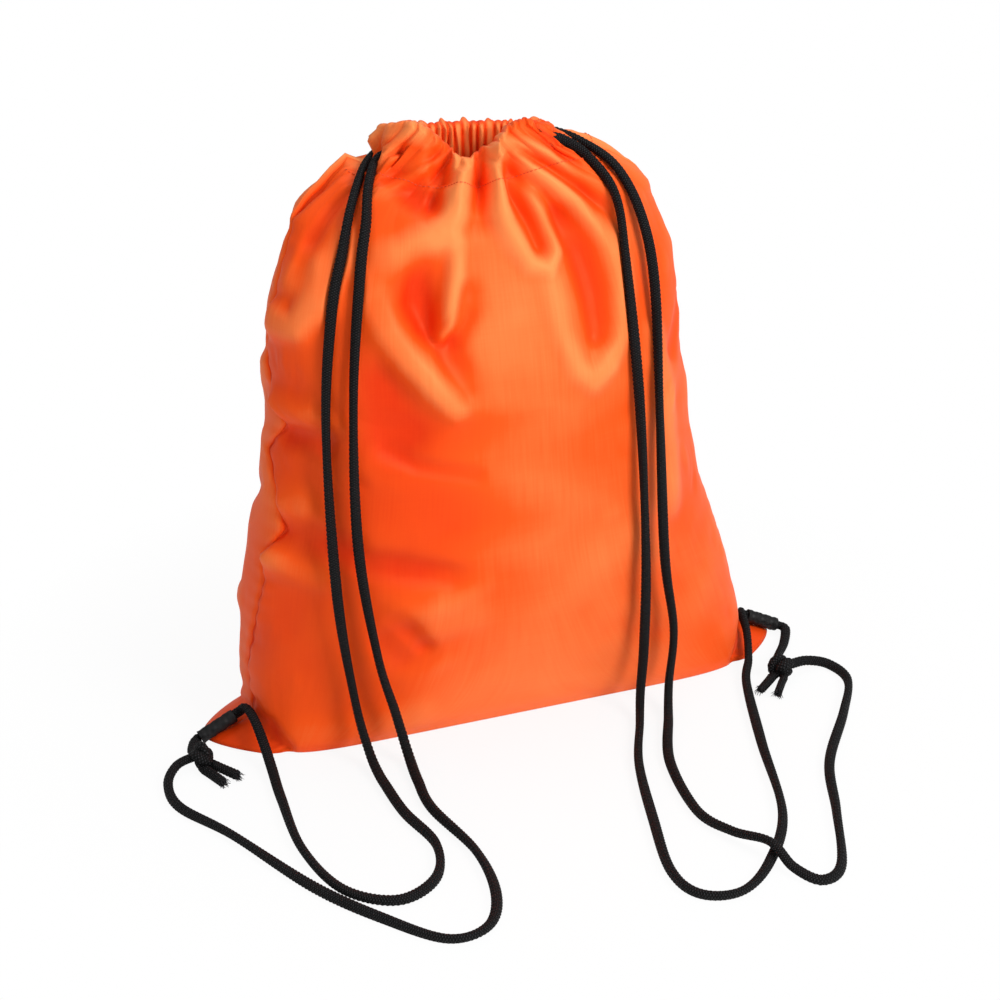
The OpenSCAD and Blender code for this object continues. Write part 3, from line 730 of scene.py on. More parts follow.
def soft_light(name, place, size, power):
    """A rectangular lamp that looks at the sack's middle."""
    lamp = bpy.data.lights.new(name, "AREA")
    lamp.shape, lamp.size, lamp.size_y = "RECTANGLE", size[0], size[1]
    lamp.energy = power
    piece = bpy.data.objects.new(name, lamp)
    piece.location = place
    piece.rotation_euler = (Vector(LIT_PLACE) - Vector(place)).to_track_quat("-Z", "Y").to_euler()
    bpy.context.scene.collection.objects.link(piece)


class SACK_OT_stage(bpy.types.Operator):
    """Sets the camera, the pale floor and the soft studio light"""
    bl_idname = "sack.stage"
    bl_label = "Studio"

    def execute(self, context):
        scene, studio = context.scene, context.scene.sack_studio
        scene.view_settings.view_transform = "Standard"
        a, e = math.radians(CAMERA_AZ), math.radians(CAMERA_EL)
        back = Vector((math.sin(a) * math.cos(e), -math.cos(a) * math.cos(e), math.sin(e)))
        lens = bpy.data.cameras.new("camera")
        lens.lens, lens.sensor_width, lens.sensor_fit = CAMERA_LENS, CAMERA_SENSOR, "AUTO"
        scene.camera = link(lens, "camera")
        scene.camera.location = Vector(CAMERA_AIM) + CAMERA_DISTANCE * back
        scene.camera.rotation_euler = (-back).to_track_quat("-Z", "Y").to_euler()

        w = Nodes(bpy.data.worlds.new("studio"))
        sky = w.add("ShaderNodeBackground", Color=WHITE, Strength=studio.sky)
        white = w.add("ShaderNodeBackground", Color=WHITE, Strength=1.0)
        seen = w.add("ShaderNodeLightPath").outputs["Is Camera Ray"]
        scene.world = w.finish(w.either(seen, sky, white), "ShaderNodeOutputWorld")

        n = Nodes(bpy.data.materials.new("studio_floor"))
        matt = n.add("ShaderNodeBsdfPrincipled", Base_Color=(0.95, 0.95, 0.95, 1), Roughness=0.4)
        glow = n.add("ShaderNodeEmission", Color=WHITE, Strength=1.0)
        span = n.add("ShaderNodeVectorMath", {"operation": "LENGTH"})
        n.put(span.inputs[0], n.place())
        far = n.value(span.outputs["Value"])
        pale = n.maths("MINIMUM", far * FLOOR_GROWS + FLOOR_NEAR, 1.0)
        seen = n.value(n.add("ShaderNodeLightPath").outputs["Is Camera Ray"])
        corners = [(x * FLOOR_HALF, y * FLOOR_HALF, 0)
                   for x, y in ((-1, -1), (1, -1), (1, 1), (-1, 1))]
        floor = mesh_piece("studio_floor", corners, [(0, 1, 2, 3)],
                           n.finish(n.either(seen * pale, matt, glow)))

        soft_light("key", (0.85, -1.5, 1.3), (0.9, 0.9), studio.key_power)
        soft_light("fill", (-1.5, -1.3, 0.9), (1.0, 1.2), studio.fill_power)
        soft_light("top", (0.1, 0.4, 1.8), (1.0, 0.8), studio.fill_power * 1.6)
        return {"FINISHED"}


# ---------------------------------------------------------------- operators: cords
def cord_material():
    """The cords' braid, made once."""
    found = bpy.data.materials.get("black_braid")
    return found or braid("black_braid", tuple(bpy.context.scene.sack_cords.colour))


class SACK_OT_straps(bpy.types.Operator):
    """Makes the four free strands and the two short ends between sleeve and knot"""
    bl_idname = "sack.straps"
    bl_label = "Straps"

    def execute(self, context):
        for turn, name in enumerate(ROUTES):
            line = smooth_line(strap_route(name))
            piece = braided_tube(name + "_braid", line, cord_material(), turn=turn * 0.7)
            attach(piece, "bag")
            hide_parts(name)
            if not name.endswith("sleeve"):
                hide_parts(name.split("_")[0] + "_cord_tails")
            "hanging" if name in EXITS else "loose"
        return {"FINISHED"}


class SACK_OT_hem_cords(bpy.types.Operator):
    """Makes the cords' runs through the hem and through the corner sleeves"""
    bl_idname = "sack.hem_cords"
    bl_label = "Cords in hem and sleeves"

    def execute(self, context):
        for side, word in SIDES:
            hem = braided_tube(f"{word}_hem_braid", hem_route(side), cord_material())
            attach(hem, "bag")
            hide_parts(f"{word}_cord_in_hem")
            line = np.array([sleeve_at(side, x) for x in np.linspace(0, SLEEVE_LEN, 25)])
            run = braided_tube(f"{word}_sleeve_braid", line, cord_material(), flat=0.0)
            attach(run, f"{word}_sleeve")
            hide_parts(f"{word}_cord_in_sleeve")
        return {"FINISHED"}


# ---------------------------------------------------------------- the bag's cloth
# Over the lip and down inside the hem: [out from the ring, height over the lip, pleat share].
HEM = np.array([
    [4.6, 0.0, 1.0], [3.9, 1.5, 1.0], [2.4, 2.6, 1.0], [0.6, 2.8, 1.0], [-1.2, 2.2, 1.0],
    [-2.6, 0.6, 0.95], [-3.5, -2.0, 0.9], [-4.1, -6.0, 0.85], [-4.5, -11.0, 0.8],
    [-4.7, -16.0, 0.7], [-4.4, -21.0, 0.6], [-3.4, -26.0, 0.5]])
HEM_ROWS = 26
# The cloth turns under the foot: [how far in, how high].
UNDER = [(9.0, 0.45), (4.0, 0.4), (1.0, 0.5)]

# The side seams wander round the flanks: [station, shares round].
LEFT_SEAM = np.array([
    [0.0, 0.0], [1.25, 0.012], [1.6, 0.01], [2.1, 0.055], [2.5, 0.08], [2.76, 0.068],
    [3.03, 0.12], [3.37, 0.077], [3.69, 0.01], [4.0, 0.088], [4.17, 0.01], [4.6, -0.02],
    [5.3, 0.015], [6.2, 0.0], [8.45, 0.0]])
RIGHT_SEAM = np.array([
    [0.0, 0.0], [1.4, 0.0], [2.2, -0.03], [2.9, 0.01], [3.5, -0.035], [4.1, 0.0],
    [4.8, -0.02], [5.6, 0.0], [8.45, 0.0]])

# Folds on the front, each a run of [share across, station, how far out, half width].
FRONT_FOLDS = [
    # from the lip: the wide ridge, the deep valley beside it, and the ridge that ends in a loop
    [(0.45, 8.45, 6, 9), (0.45, 7.4, 6.5, 9), (0.435, 6.4, 6, 9), (0.41, 6.05, 5, 9),
     (0.35, 5.85, 3.5, 10), (0.28, 5.75, 1.5, 12)],
    [(0.52, 8.4, -8, 4.5), (0.49, 7.45, -8, 6), (0.48, 6.8, -5, 8), (0.475, 6.3, -2, 9)],
    [(0.575, 8.4, 6, 4.5), (0.525, 7.4, 6, 5.5), (0.51, 6.4, 5.5, 7), (0.52, 5.95, 4.5, 8),
     (0.535, 5.55, 3.5, 6), (0.56, 5.45, 3, 5), (0.58, 5.65, 3, 5), (0.578, 6.1, 3, 6),
     (0.577, 6.7, 3, 6), (0.57, 7.2, 1.5, 6)],
    [(0.595, 7.9, -3, 5), (0.555, 7.0, -4, 6), (0.545, 6.25, -4, 7), (0.555, 5.8, -3, 7)],
    # the big pleat that swings down to the right and back in a wide hook
    [(0.612, 8.3, 3.5, 5), (0.631, 7.5, 4, 5.5), (0.646, 6.95, 4.2, 6), (0.65, 6.4, 4.2, 7),
     (0.673, 5.98, 3.8, 8), (0.69, 5.6, 3, 9), (0.69, 5.25, 2.5, 9), (0.675, 4.7, 2.5, 9),
     (0.64, 4.35, 3, 8), (0.61, 4.2, 2.5, 7), (0.585, 4.35, 2.5, 7), (0.565, 4.75, 2, 7),
     (0.56, 5.25, 1.5, 8)],
    [(0.61, 6.15, -2.5, 8), (0.625, 5.6, -4, 9), (0.63, 5.1, -4.5, 10), (0.63, 4.65, -3.5, 8)],
    # the ridge and the hollows that sweep out from the hem on the right
    [(0.595, 7.8, -1, 3), (0.594, 7.2, -2.5, 4), (0.597, 6.6, -2.5, 5), (0.603, 6.1, -2, 7),
     (0.615, 5.8, 0, 8)],
    [(0.655, 8.4, 2, 3.5), (0.7, 8.0, 3, 4), (0.716, 7.6, 3.5, 4.5), (0.731, 7.1, 3.5, 4.5),
     (0.737, 6.7, 2.5, 5), (0.73, 6.2, 0, 6)],
    [(0.64, 8.2, -1.5, 2.5), (0.679, 7.35, -3, 3.5), (0.687, 6.95, -3.2, 4),
     (0.69, 6.55, -3.2, 5), (0.697, 6.0, -2.5, 6), (0.701, 5.5, 0, 7)],
    [(0.37, 7.8, -1.5, 3), (0.395, 7.06, -2.5, 3.5), (0.4, 6.65, -2.5, 4), (0.395, 6.2, 0, 6)],
    [(0.335, 8.2, 1.5, 2.2), (0.31, 7.6, 2.4, 2.8), (0.25, 7.0, 1.5, 4), (0.19, 6.6, 0, 6)],
    [(0.18, 7.3, -0.5, 3), (0.15, 6.7, -1.8, 4), (0.125, 6.0, -1.8, 5), (0.12, 5.4, 0, 6)],
    # the narrow fold below the wide ridge, ending in a V, with the valleys at its sides
    [(0.44, 5.9, 3, 6), (0.435, 5.5, 4, 6), (0.425, 5.15, 4, 5.5), (0.415, 4.9, 3.5, 5)],
    [(0.415, 4.85, 2.5, 4), (0.43, 4.95, 2, 4), (0.45, 5.15, 1, 5)],
    [(0.375, 5.7, -2, 8), (0.38, 5.25, -4.5, 9), (0.395, 5.0, -5, 8), (0.415, 4.8, -4, 7),
     (0.43, 4.55, -3, 9), (0.44, 4.35, -1.5, 9)],
    [(0.455, 5.3, -1.5, 7), (0.45, 5.1, -2.5, 7), (0.435, 4.85, -2.5, 7)],
    # the long light fold to its left, and the hollow under it
    [(0.305, 5.3, 2, 10), (0.33, 4.95, 4, 10), (0.36, 4.65, 4.5, 10), (0.4, 4.35, 4, 9),
     (0.425, 4.15, 3, 8)],
    [(0.31, 4.4, -2, 14), (0.34, 4.0, -3, 18)],
    # the puffs at the hem's left end and what hangs from them
    [(0.0, 8.4, 4, 7), (0.18, 8.45, 5, 8), (0.3, 8.45, 3, 5)],
    [(0.115, 8.1, 2, 6), (0.15, 7.75, 3, 8)],
    [(0.255, 7.4, -3, 8), (0.36, 7.0, -4, 9), (0.41, 6.7, -3, 8)],
    [(0.26, 8.45, -2.5, 2.5), (0.36, 7.65, -2, 2.5)],
    [(0.305, 8.45, -2.5, 2.5), (0.39, 7.6, -2, 2.5)],
    [(0.35, 8.42, -3, 2.5), (0.41, 7.5, -2.5, 3)],
    # the left flank
    [(-0.015, 6.4, -2.5, 6), (0.01, 6.85, -3, 5), (0.01, 7.3, -2, 5)],
    [(0.05, 5.0, 3.5, 10), (0.13, 5.0, 4, 9), (0.18, 5.3, 4, 10), (0.2, 5.65, 3, 10),
     (0.225, 6.05, 2, 9)],
    [(0.085, 5.5, 2, 9), (0.12, 5.75, 2, 9)],
    [(0.04, 4.15, 2.5, 8), (0.16, 4.1, 2.5, 9), (0.22, 4.05, 1.5, 8)],
    [(0.1, 3.9, -2.5, 7), (0.19, 3.9, -2, 9)],
    [(0.02, 3.2, 2, 9), (0.155, 3.3, 1.5, 10)],
    [(0.085, 3.0, -3, 8), (0.19, 3.0, -2.5, 10), (0.255, 2.9, -1.5, 10)],
    [(0.095, 2.75, 2.5, 8), (0.22, 2.65, 2, 10)],
    # the lower half
    [(0.275, 2.8, -1.5, 9), (0.35, 2.7, -2.5, 9), (0.425, 2.55, -2.5, 8), (0.455, 2.55, -1, 8)],
    [(0.36, 2.3, 1.5, 10), (0.4, 2.4, 2, 11), (0.45, 2.5, 1.5, 12)],
    [(0.35, 2.2, -1, 6), (0.37, 2.05, -2, 6), (0.395, 1.85, -2, 5)],
    [(0.34, 1.95, -1.5, 9), (0.37, 1.75, -1.5, 8), (0.4, 1.75, -0.5, 8)],
    [(0.405, 2.15, 2, 14), (0.445, 2.15, 1.5, 12)],
    [(0.32, 3.8, -1, 5), (0.37, 3.65, -1.5, 5), (0.455, 3.5, -1, 5)],
    [(0.0, 1.25, -1.5, 4), (0.1, 0.95, -2, 5), (0.17, 0.3, -1.5, 4)],
    [(1.0, 1.25, -1.5, 4), (0.9, 0.95, -2, 5), (0.83, 0.3, -1.5, 4)],
    [(0.22, 0.85, 1, 10), (0.43, 1.0, 1, 10)],
    # the right of the front
    [(0.76, 4.5, 1.5, 8), (0.77, 3.6, 2, 9), (0.755, 2.8, 1.5, 9)],
    [(0.92, 4.65, -1.5, 6), (0.825, 4.25, -1.5, 6)],
    [(0.835, 8.2, -2.5, 4), (0.75, 7.2, -3, 5), (0.71, 6.3, -2, 6)]]
# The photograph doesn't show the back: its folds are of the same kinds.
BACK_FOLDS = [
    [(0.16, 8.4, 3.5, 6), (0.15, 7.3, 5, 7), (0.12, 6.5, 3, 9), (0.1, 5.7, 0, 12)],
    [(0.22, 8.4, -5, 3.5), (0.21, 7.4, -4, 5), (0.2, 6.5, -2, 7), (0.19, 5.8, 0, 9)],
    [(0.27, 8.4, 3, 6), (0.26, 7.3, 5, 7), (0.23, 6.2, 4, 8), (0.19, 5.0, 2, 9),
     (0.15, 4.2, 0, 12)],
    [(0.33, 8.4, -5, 3.5), (0.33, 7.4, -5, 5), (0.32, 6.4, -3.5, 7), (0.3, 5.2, 0, 10)],
    [(0.38, 8.4, 3.5, 6), (0.38, 7.2, 4.5, 6), (0.37, 6.5, 3, 7), (0.36, 5.6, 0, 8)],
    [(0.45, 8.4, -6, 4), (0.445, 7.2, -6, 5), (0.44, 6.2, -4, 7), (0.43, 4.9, 0, 11)],
    [(0.52, 8.4, 3.5, 6), (0.51, 7.2, 5.5, 7), (0.49, 6.3, 4, 8), (0.45, 5.3, 2, 9),
     (0.4, 4.5, 0, 12)],
    [(0.58, 8.4, -5, 3.5), (0.59, 7.2, -5, 5), (0.6, 6.4, -3, 7), (0.61, 5.6, 0, 10)],
    [(0.65, 8.4, 3, 6), (0.66, 7.3, 4.5, 6), (0.68, 6.6, 3, 7), (0.7, 5.9, 0, 8)],
    [(0.71, 8.4, -4, 3.5), (0.73, 7.3, -5, 5), (0.75, 6.3, -3, 7), (0.78, 5.2, 0, 10)],
    [(0.78, 8.4, 3, 6), (0.8, 7.2, 5, 7), (0.84, 6.2, 3, 8), (0.88, 5.3, 0, 11)],
    [(0.84, 8.4, -4, 3.5), (0.87, 7.2, -4, 5), (0.91, 6.4, -2, 6), (0.94, 5.8, 0, 8)],
    # creases that cross the body from the two seams
    [(-0.04, 5.1, 0, 6), (0.05, 4.95, 2.5, 8), (0.15, 5.0, 2.5, 8), (0.24, 5.35, 1, 9),
     (0.3, 5.8, 0, 10)],
    [(-0.03, 3.9, 0, 5), (0.04, 3.75, -2.5, 7), (0.13, 3.5, -2.5, 8), (0.24, 3.2, -1, 9),
     (0.36, 3.05, 0, 12)],
    [(0.0, 2.9, 0, 6), (0.08, 2.7, 2, 8), (0.2, 2.3, 1.5, 9), (0.3, 2.1, 0, 12)],
    [(1.03, 4.5, 0, 6), (0.95, 4.4, 2.5, 8), (0.85, 4.05, 2.5, 8), (0.74, 3.95, 1, 9),
     (0.64, 4.1, 0, 12)],
    [(1.02, 3.4, 0, 5), (0.94, 3.2, -2.5, 7), (0.84, 2.85, -2.5, 8), (0.72, 2.75, -1, 9),
     (0.6, 2.8, 0, 12)],
    [(1.0, 2.2, 0, 6), (0.9, 2.1, 2, 8), (0.78, 1.8, 1.5, 9), (0.66, 1.75, 0, 12)],
    [(0.3, 3.5, 0, 8), (0.42, 3.25, -1.5, 9), (0.56, 3.4, -1.8, 10), (0.7, 3.75, 0, 12)],
    [(0.24, 1.3, 0, 8), (0.4, 1.6, 1.2, 11), (0.56, 1.55, 1.2, 11), (0.72, 1.2, 0, 12)],
    [(0.04, 1.2, -1.5, 4), (0.11, 0.95, -2, 5), (0.17, 0.3, -1.5, 4)],
    [(0.96, 1.2, -1.5, 4), (0.89, 0.95, -2, 5), (0.83, 0.3, -1.5, 4)]]
# The shoulders beside the two ends of the hem, by share of the whole ring.
SHOULDERS = [
    [(-0.03, 8.4, 2, 5), (-0.032, 8.05, 7, 7), (-0.04, 7.6, 8, 8), (-0.055, 7.1, 5, 11),
     (-0.07, 6.4, 2, 14)],
    [(1.03, 8.2, 3, 6), (1.04, 7.7, 5, 9), (1.04, 7.1, 5, 10), (1.0, 6.5, 2, 12)]]


FOLD_GAIN = 1.6       # the folds stand this many times as far out as the tables say
FOLD_SPREAD = 1.05    # and are this many times as wide
# The painted highlight on the folds is full where the cloth stands this far out.
FOLD_FULL_HIGHLIGHT = 7.0       # how far out the cloth is at its palest

# The gathers under the hem: count, first station, stations until they are full, and depth.
BROAD_GATHERS, BROAD_T, BROAD_RUN = 9, 5.2, 2.4
BROAD_DEPTH = {"front": 1.2, "back": 4.5}
FINE_GATHERS, FINE_T, FINE_RUN, FINE_DEPTH = 16, 7.0, 1.2, 2.0
HEM_GATHERS = 23
SHIFT = {"front": 0.3, "back": 1.7}
SIDE_CALM = 0.05      # the share of a panel beside each seam where the gathers fade

# Soft unevenness, and the finer crumpling: how far it stands out, the height over the floor
# from which it is full, and the share that the crown loses.
SOFT, SOFT_FOOT, SOFT_LOST = 1.2, 60, 0.6
CRUMPLE, CRUMPLE_FOOT, CRUMPLE_LOST = 0.45, 30, 0.5
CRUMPLE_SCALE = 2.6   # how many times finer it is
CROWN_Z, CROWN_RUN = 280, 50
RIPPLES, RIPPLE_MIN, RIPPLE_MAX = 14, 35, 110    # waves in it, and their lengths
PANEL_W = 350         # a panel's width while it is flat

# The side seams: a furrow, its puckers and its shade, each with how strong and how wide it is.
FURROW, FURROW_W = 1.4, 3.0
PUCKER, PUCKER_W, PUCKER_PITCH = 0.6, 9.0, 11.0
SEAM_SHADE, SEAM_SHADE_W = 0.5, 1.3
# The height from which they are full, and the stations over which they end.
SEAM_FOOT, SEAM_TOP, SEAM_FADE = 25, 7.6, 0.6

SEWN_T, SEWN_W, SEWN_DEPTH = 7.52, 0.06, 0.7     # the furrow of the hem's row of stitches
# From this station to the lip the folds stand out level, with a slight rise.
LEVEL_T, LEVEL_RUN, LEVEL_RISE = 7.7, 0.6, 0.15
FOOT_T = 0.8          # and towards the floor, below this one

# Gathers inside the hem: depth and its change, and how far out from the ring they begin.
HEM_DEPTH, HEM_UNEVEN = 2.4, 1.2
INSIDE_AT, INSIDE_RUN = 0.5, 3.0
INSIDE_LOST = 0.7     # the share of the outer folds that ends there
CREST_RISE = 0.9      # how far the gathers notch the lip
COVER_FROM = -2.2     # the cloth further in than this gives way inwards, the rest upwards

PRESS_R = 3.45        # the cloth keeps this far from the middle of a cord that lies on it
COVER_R = 3.8         # and this far from one that runs inside the hem
COVERED = 11          # the length of each strap that the end of the hem still hides
LYING_Z = 15          # a strap lies on the cloth above this height
# The cloth's form over a cord: round up to this share of its radius, then a straight slope.
ROUND_TO, ROUND_END, SLOPE = 0.7, 0.714, 1.3
CORD_REACH = 16       # cloth further than this from every cord stays


def level_out(s):
    """The level way out of the bag at the lip."""
    d = lip(s + 0.004) - lip(s - 0.004)
    return unit(np.stack([d[..., 1], -d[..., 0], 0 * d[..., 0]], -1))


def normals(grid):
    """The ways out of the cloth at its points."""
    return unit(np.cross(np.gradient(grid, axis=1), np.gradient(grid, axis=0)))


def valley(S, count, shift):
    """0 on the rounded crests of a run of gathers and 1 in their sharp valleys."""
    wobble = (0.010 * np.sin(TAU * 2.3 * S + 1 + shift)
              + 0.006 * np.sin(TAU * 5.1 * S + 2.2 * shift))
    return (1 - abs(np.sin(math.pi * count * (S + wobble) + shift))) ** 1.25


def uneven(S, shift):
    """How much deeper or shallower than most a gather is."""
    return 1 + 0.5 * np.sin(TAU * 3.7 * S + shift) * np.sin(TAU * 8.3 * S + 1)


def calm(S):
    """0 at a panel's two seams, where nothing is gathered, and 1 away from them."""
    return ease(np.minimum(S, 1 - S) / SIDE_CALM)


def ripple(S, z, seed):
    """A soft random field over a panel, about -1 to 1, the same in every run."""
    rng = np.random.default_rng(seed)
    total = 0 * S
    for _ in range(RIPPLES):
        angle = rng.uniform(0, math.pi)
        wave = rng.uniform(RIPPLE_MIN, RIPPLE_MAX)
        across = PANEL_W * S * math.cos(angle) + z * math.sin(angle)
        total = total + (np.sin(TAU * across / wave + rng.uniform(0, TAU)) * wave / RIPPLE_MAX)
    return total / 4.0


def folds_at(places, s0, folds):
    """How far a table's folds stand out at each place, in millimetres."""
    total = np.zeros(places.shape[:-1])
    for fold in folds:
        fold = np.array(fold, float)
        line = base(fold[:, 1], fold[:, 0] + s0)
        best = np.full(total.shape, 1e9)
        lift = np.zeros(total.shape)
        for i in range(len(line) - 1):
            a, d = line[i], line[i + 1] - line[i]
            f = np.clip(((places - a) @ d) / (d @ d), 0, 1)
            away = np.linalg.norm(places - a - f[..., None] * d, axis=-1)
            h = fold[i, 2] * (1 - f) + fold[i + 1, 2] * f
            w = fold[i, 3] * (1 - f) + fold[i + 1, 3] * f
            near = away / w < best
            best = np.where(near, away / w, best)
            lift = np.where(near, h * pleat_top(away / w / FOLD_SPREAD), lift)
        total += lift
    return total


def row_stations(rows):
    """Stations at even steps of cloth from the floor to the lip."""
    t = np.linspace(0, LIP_T, 2600)
    run = run_along(base(t, np.full_like(t, 0.5)))
    return np.interp(np.linspace(0, run[-1], rows), run, t)


def panel_shares(t, local, s0):
    """Where the columns of a panel stand round the bag, between its wandering seams."""
    left = np.interp(t, *LEFT_SEAM.T)
    right = np.interp(t, *RIGHT_SEAM.T)
    start, end = (left, 1 + right) if s0 == 0 else (1 + right, 2 + left)
    return start + (end - start) * local


def beside_seam(T, S, z):
    """How far the cloth is from its seam, and how much the seam draws it."""
    seamed = ease(z / SEAM_FOOT) * (1 - ease((T - SEAM_TOP) / SEAM_FADE))
    return np.minimum(S, 1 - S) * PANEL_W, seamed


def panel_lift(T, S, z, word, skin):
    """How far the gathers, folds and puckers of a panel stand out, in millimetres."""
    s0, shift = PANELS.index(word), SHIFT[word]
    lift = (-BROAD_DEPTH[word] * ease((T - BROAD_T) / BROAD_RUN)
            * valley(S, BROAD_GATHERS, shift) * calm(S))
    lift -= (FINE_DEPTH * ease((T - FINE_T) / FINE_RUN)
             * valley(S, FINE_GATHERS, 2 * shift) * calm(S) * uneven(S, shift))
    lift += FOLD_GAIN * folds_at(skin, s0, BACK_FOLDS if s0 else FRONT_FOLDS)
    lift += folds_at(skin, 0, SHOULDERS)
    crown = ease((z - CROWN_Z) / CROWN_RUN)
    lift += SOFT * ripple(S, z, 5 + s0) * ease(z / SOFT_FOOT) * (1 - SOFT_LOST * crown)
    fine = ripple(CRUMPLE_SCALE * S, CRUMPLE_SCALE * z, 15 + s0)
    lift += CRUMPLE * fine * abs(fine) * ease(z / CRUMPLE_FOOT) * (1 - CRUMPLE_LOST * crown)
    away, seamed = beside_seam(T, S, z)
    lift -= FURROW * bump(away / FURROW_W) * seamed
    puckers = np.sin(TAU * z / PUCKER_PITCH + 1.3 * np.sin(z / 17.0))
    lift += PUCKER * puckers * np.exp(-away / PUCKER_W) * seamed
    return lift - SEWN_DEPTH * bump((T - SEWN_T) / SEWN_W) * calm(S)


def panel_way(T, skin, level):
    """The way the folds stand out: off the cloth, but level by the floor and by the lip."""
    flat = ease((T - LEVEL_T) / LEVEL_RUN)[..., None]
    way = unit(normals(skin) * (1 - flat) + unit(level + (0, 0, LEVEL_RISE)) * flat)
    raised = ease(T / FOOT_T)[..., None]
    return unit(way * raised + unit(way * (1, 1, 0)) * (1 - raised))


def panel_painted_shading(T, S, s, z, word, lift):
    """The painted light and shade of each point of a panel, -1 to 1: a painted highlight on its folds,
    painted shade between them and beside the seams.
    """
    away, seamed = beside_seam(T, S, z)
    tone = lift / FOLD_FULL_HIGHLIGHT - SEAM_SHADE * bump(away / SEAM_SHADE_W) * seamed
    if word == "front":
        # painted light in a band right of the middle and low beside it, painted shade on the left
        tone += 0.45 * bump((S - 0.53) / 0.12) + 0.1 * ease((S - 0.6) / 0.1) - 0.05
        tone += 0.18 * bump((S - 0.42) / 0.08) * ease((2.8 - T) / 1.5)
        tone -= 0.42 * ease((0.5 - S) / 0.16) * bump((T - 3.9) / 2.3)
    else:
        # on the back, the painted light and shade a little lighter overall
        tone = 0.95 * tone + 0.1
    # painted shade on the pulled-out corners
    tone -= 0.45 * ease((0.17 - from_seam(s)) / 0.05) * ease((1.2 - T) / 0.5)
    return np.clip(tone, -1, 1)


def turned_under(edge, out):
    """The rows of cloth that turn in under the foot from a panel's lower edge."""
    rows = []
    for inward, height in UNDER:
        row = edge - inward * unit(out * (1, 1, 0))
        row[:, 2] = height
        rows.append(row)
    return rows


def hem_rows(S, ring, moved, across, shift):
    """The rows over the lip and down inside the hem, in close gathers, with how far inside
    each row is, 0 to 1. moved is how far the folds carry the lip, across its level way out."""
    f = np.linspace(0, 1, HEM_ROWS + 1)[1:]
    off, up, share = (np.interp(f, np.linspace(0, 1, len(HEM)), HEM[:, k]) for k in range(3))
    inside = ease((INSIDE_AT - off) / INSIDE_RUN)
    pleat = hem_pleats(S, shift)
    hem = []
    for k in range(HEM_ROWS):
        row = lip(ring, off[k], up[k]) + moved * (share[k] * (1 - INSIDE_LOST * inside[k]))
        drift = 0.008 * np.sin(k * 0.27 + TAU * 4.3 * S) + 0.004 * np.sin(k * 0.5 - TAU * 9 * S)
        depth = HEM_DEPTH + HEM_UNEVEN * np.sin(TAU * 5.7 * S + 0.2 * k + shift)
        crest = 1 - valley(S + drift * inside[k], HEM_GATHERS, shift)
        row -= across * (crest * depth * inside[k] * uneven(S, shift))[:, None]
        row[:, 2] += CREST_RISE * (0.5 - pleat) * (1 - inside[k])
        hem.append(row)
    toward = np.where((off < COVER_FROM)[:, None, None], -across, np.array([0.0, 0.0, 1.0]))
    return kept_off(np.array(hem), toward, inside_runs(), COVER_R, below=0.3), inside


def hem_pleats(S, shift):
    """Where the hem's gathers notch its lip: 0 on their crests, 1 between them."""
    return valley(S, HEM_GATHERS, shift) * calm(S)


def panel_grid(word, columns, rows):
    """A formed panel: rows of points from under the foot to the inside of the hem, the painted
    light and shade of each point, -1 to 1, and its share round the bag."""
    s0, shift = PANELS.index(word), SHIFT[word]
    T, S = np.meshgrid(row_stations(rows), np.linspace(0, 1, columns), indexing="ij")
    s = panel_shares(T, S, s0)
    skin, level = base(T, s), level_out(s)
    z = skin[..., 2]
    lift, way = panel_lift(T, S, z, word, skin), panel_way(T, skin, level)
    body = skin + lift[..., None] * way
    body = kept_off(body, -way, outside_runs(), PRESS_R)
    body = kept_off(body, way, inside_runs(), COVER_R)
    hem, inside = hem_rows(S[-1], s[-1], body[-1] - skin[-1], level[-1], shift)
    tone = panel_painted_shading(T, S, s, z, word, lift)
    # Inside the hem, a painted highlight on the gathers' crests and painted shade in their valleys,
    # growing from the outer cloth's painted light and shade.
    hem_painted_shading = [tone[-1] * (1 - k) + (1 - 2.2 * hem_pleats(S[-1], shift)) * k for k in inside]
    painted_shading = np.concatenate([np.zeros((len(UNDER), columns)), tone, hem_painted_shading])
    around = np.concatenate([s[:1]] * len(UNDER) + [s] + [s[-1:]] * HEM_ROWS)
    return np.concatenate([turned_under(body[0], normals(skin)[0]), body, hem]), painted_shading, around


def outside_runs():
    """The cords that lie on the cloth."""
    lines = [smooth_line(strap_route(name), 1.0)[COVERED + 2:] for name in EXITS]
    return np.vstack([line[line[:, 2] > LYING_Z] for line in lines])


def inside_runs():
    """The cords inside the hem, and the starts of the straps that leave it."""
    lines = [smooth_line(strap_route(name), 1.0)[:COVERED] for name in EXITS]
    return np.vstack(lines + [hem_route(LEFT), hem_route(RIGHT)])


def hem_route(side):
    """One cord's run round the ring, inside the hem."""
    start = END_SHARE if side == LEFT else 1 + END_SHARE
    s = start + np.linspace(0, 2 - 2 * END_SHARE, 220)
    height = LOW_CORD_Z if side == LEFT else HIGH_CORD_Z
    return at_mouth(oval(s, SAG_OUT * sag(s)), height - sag(s))


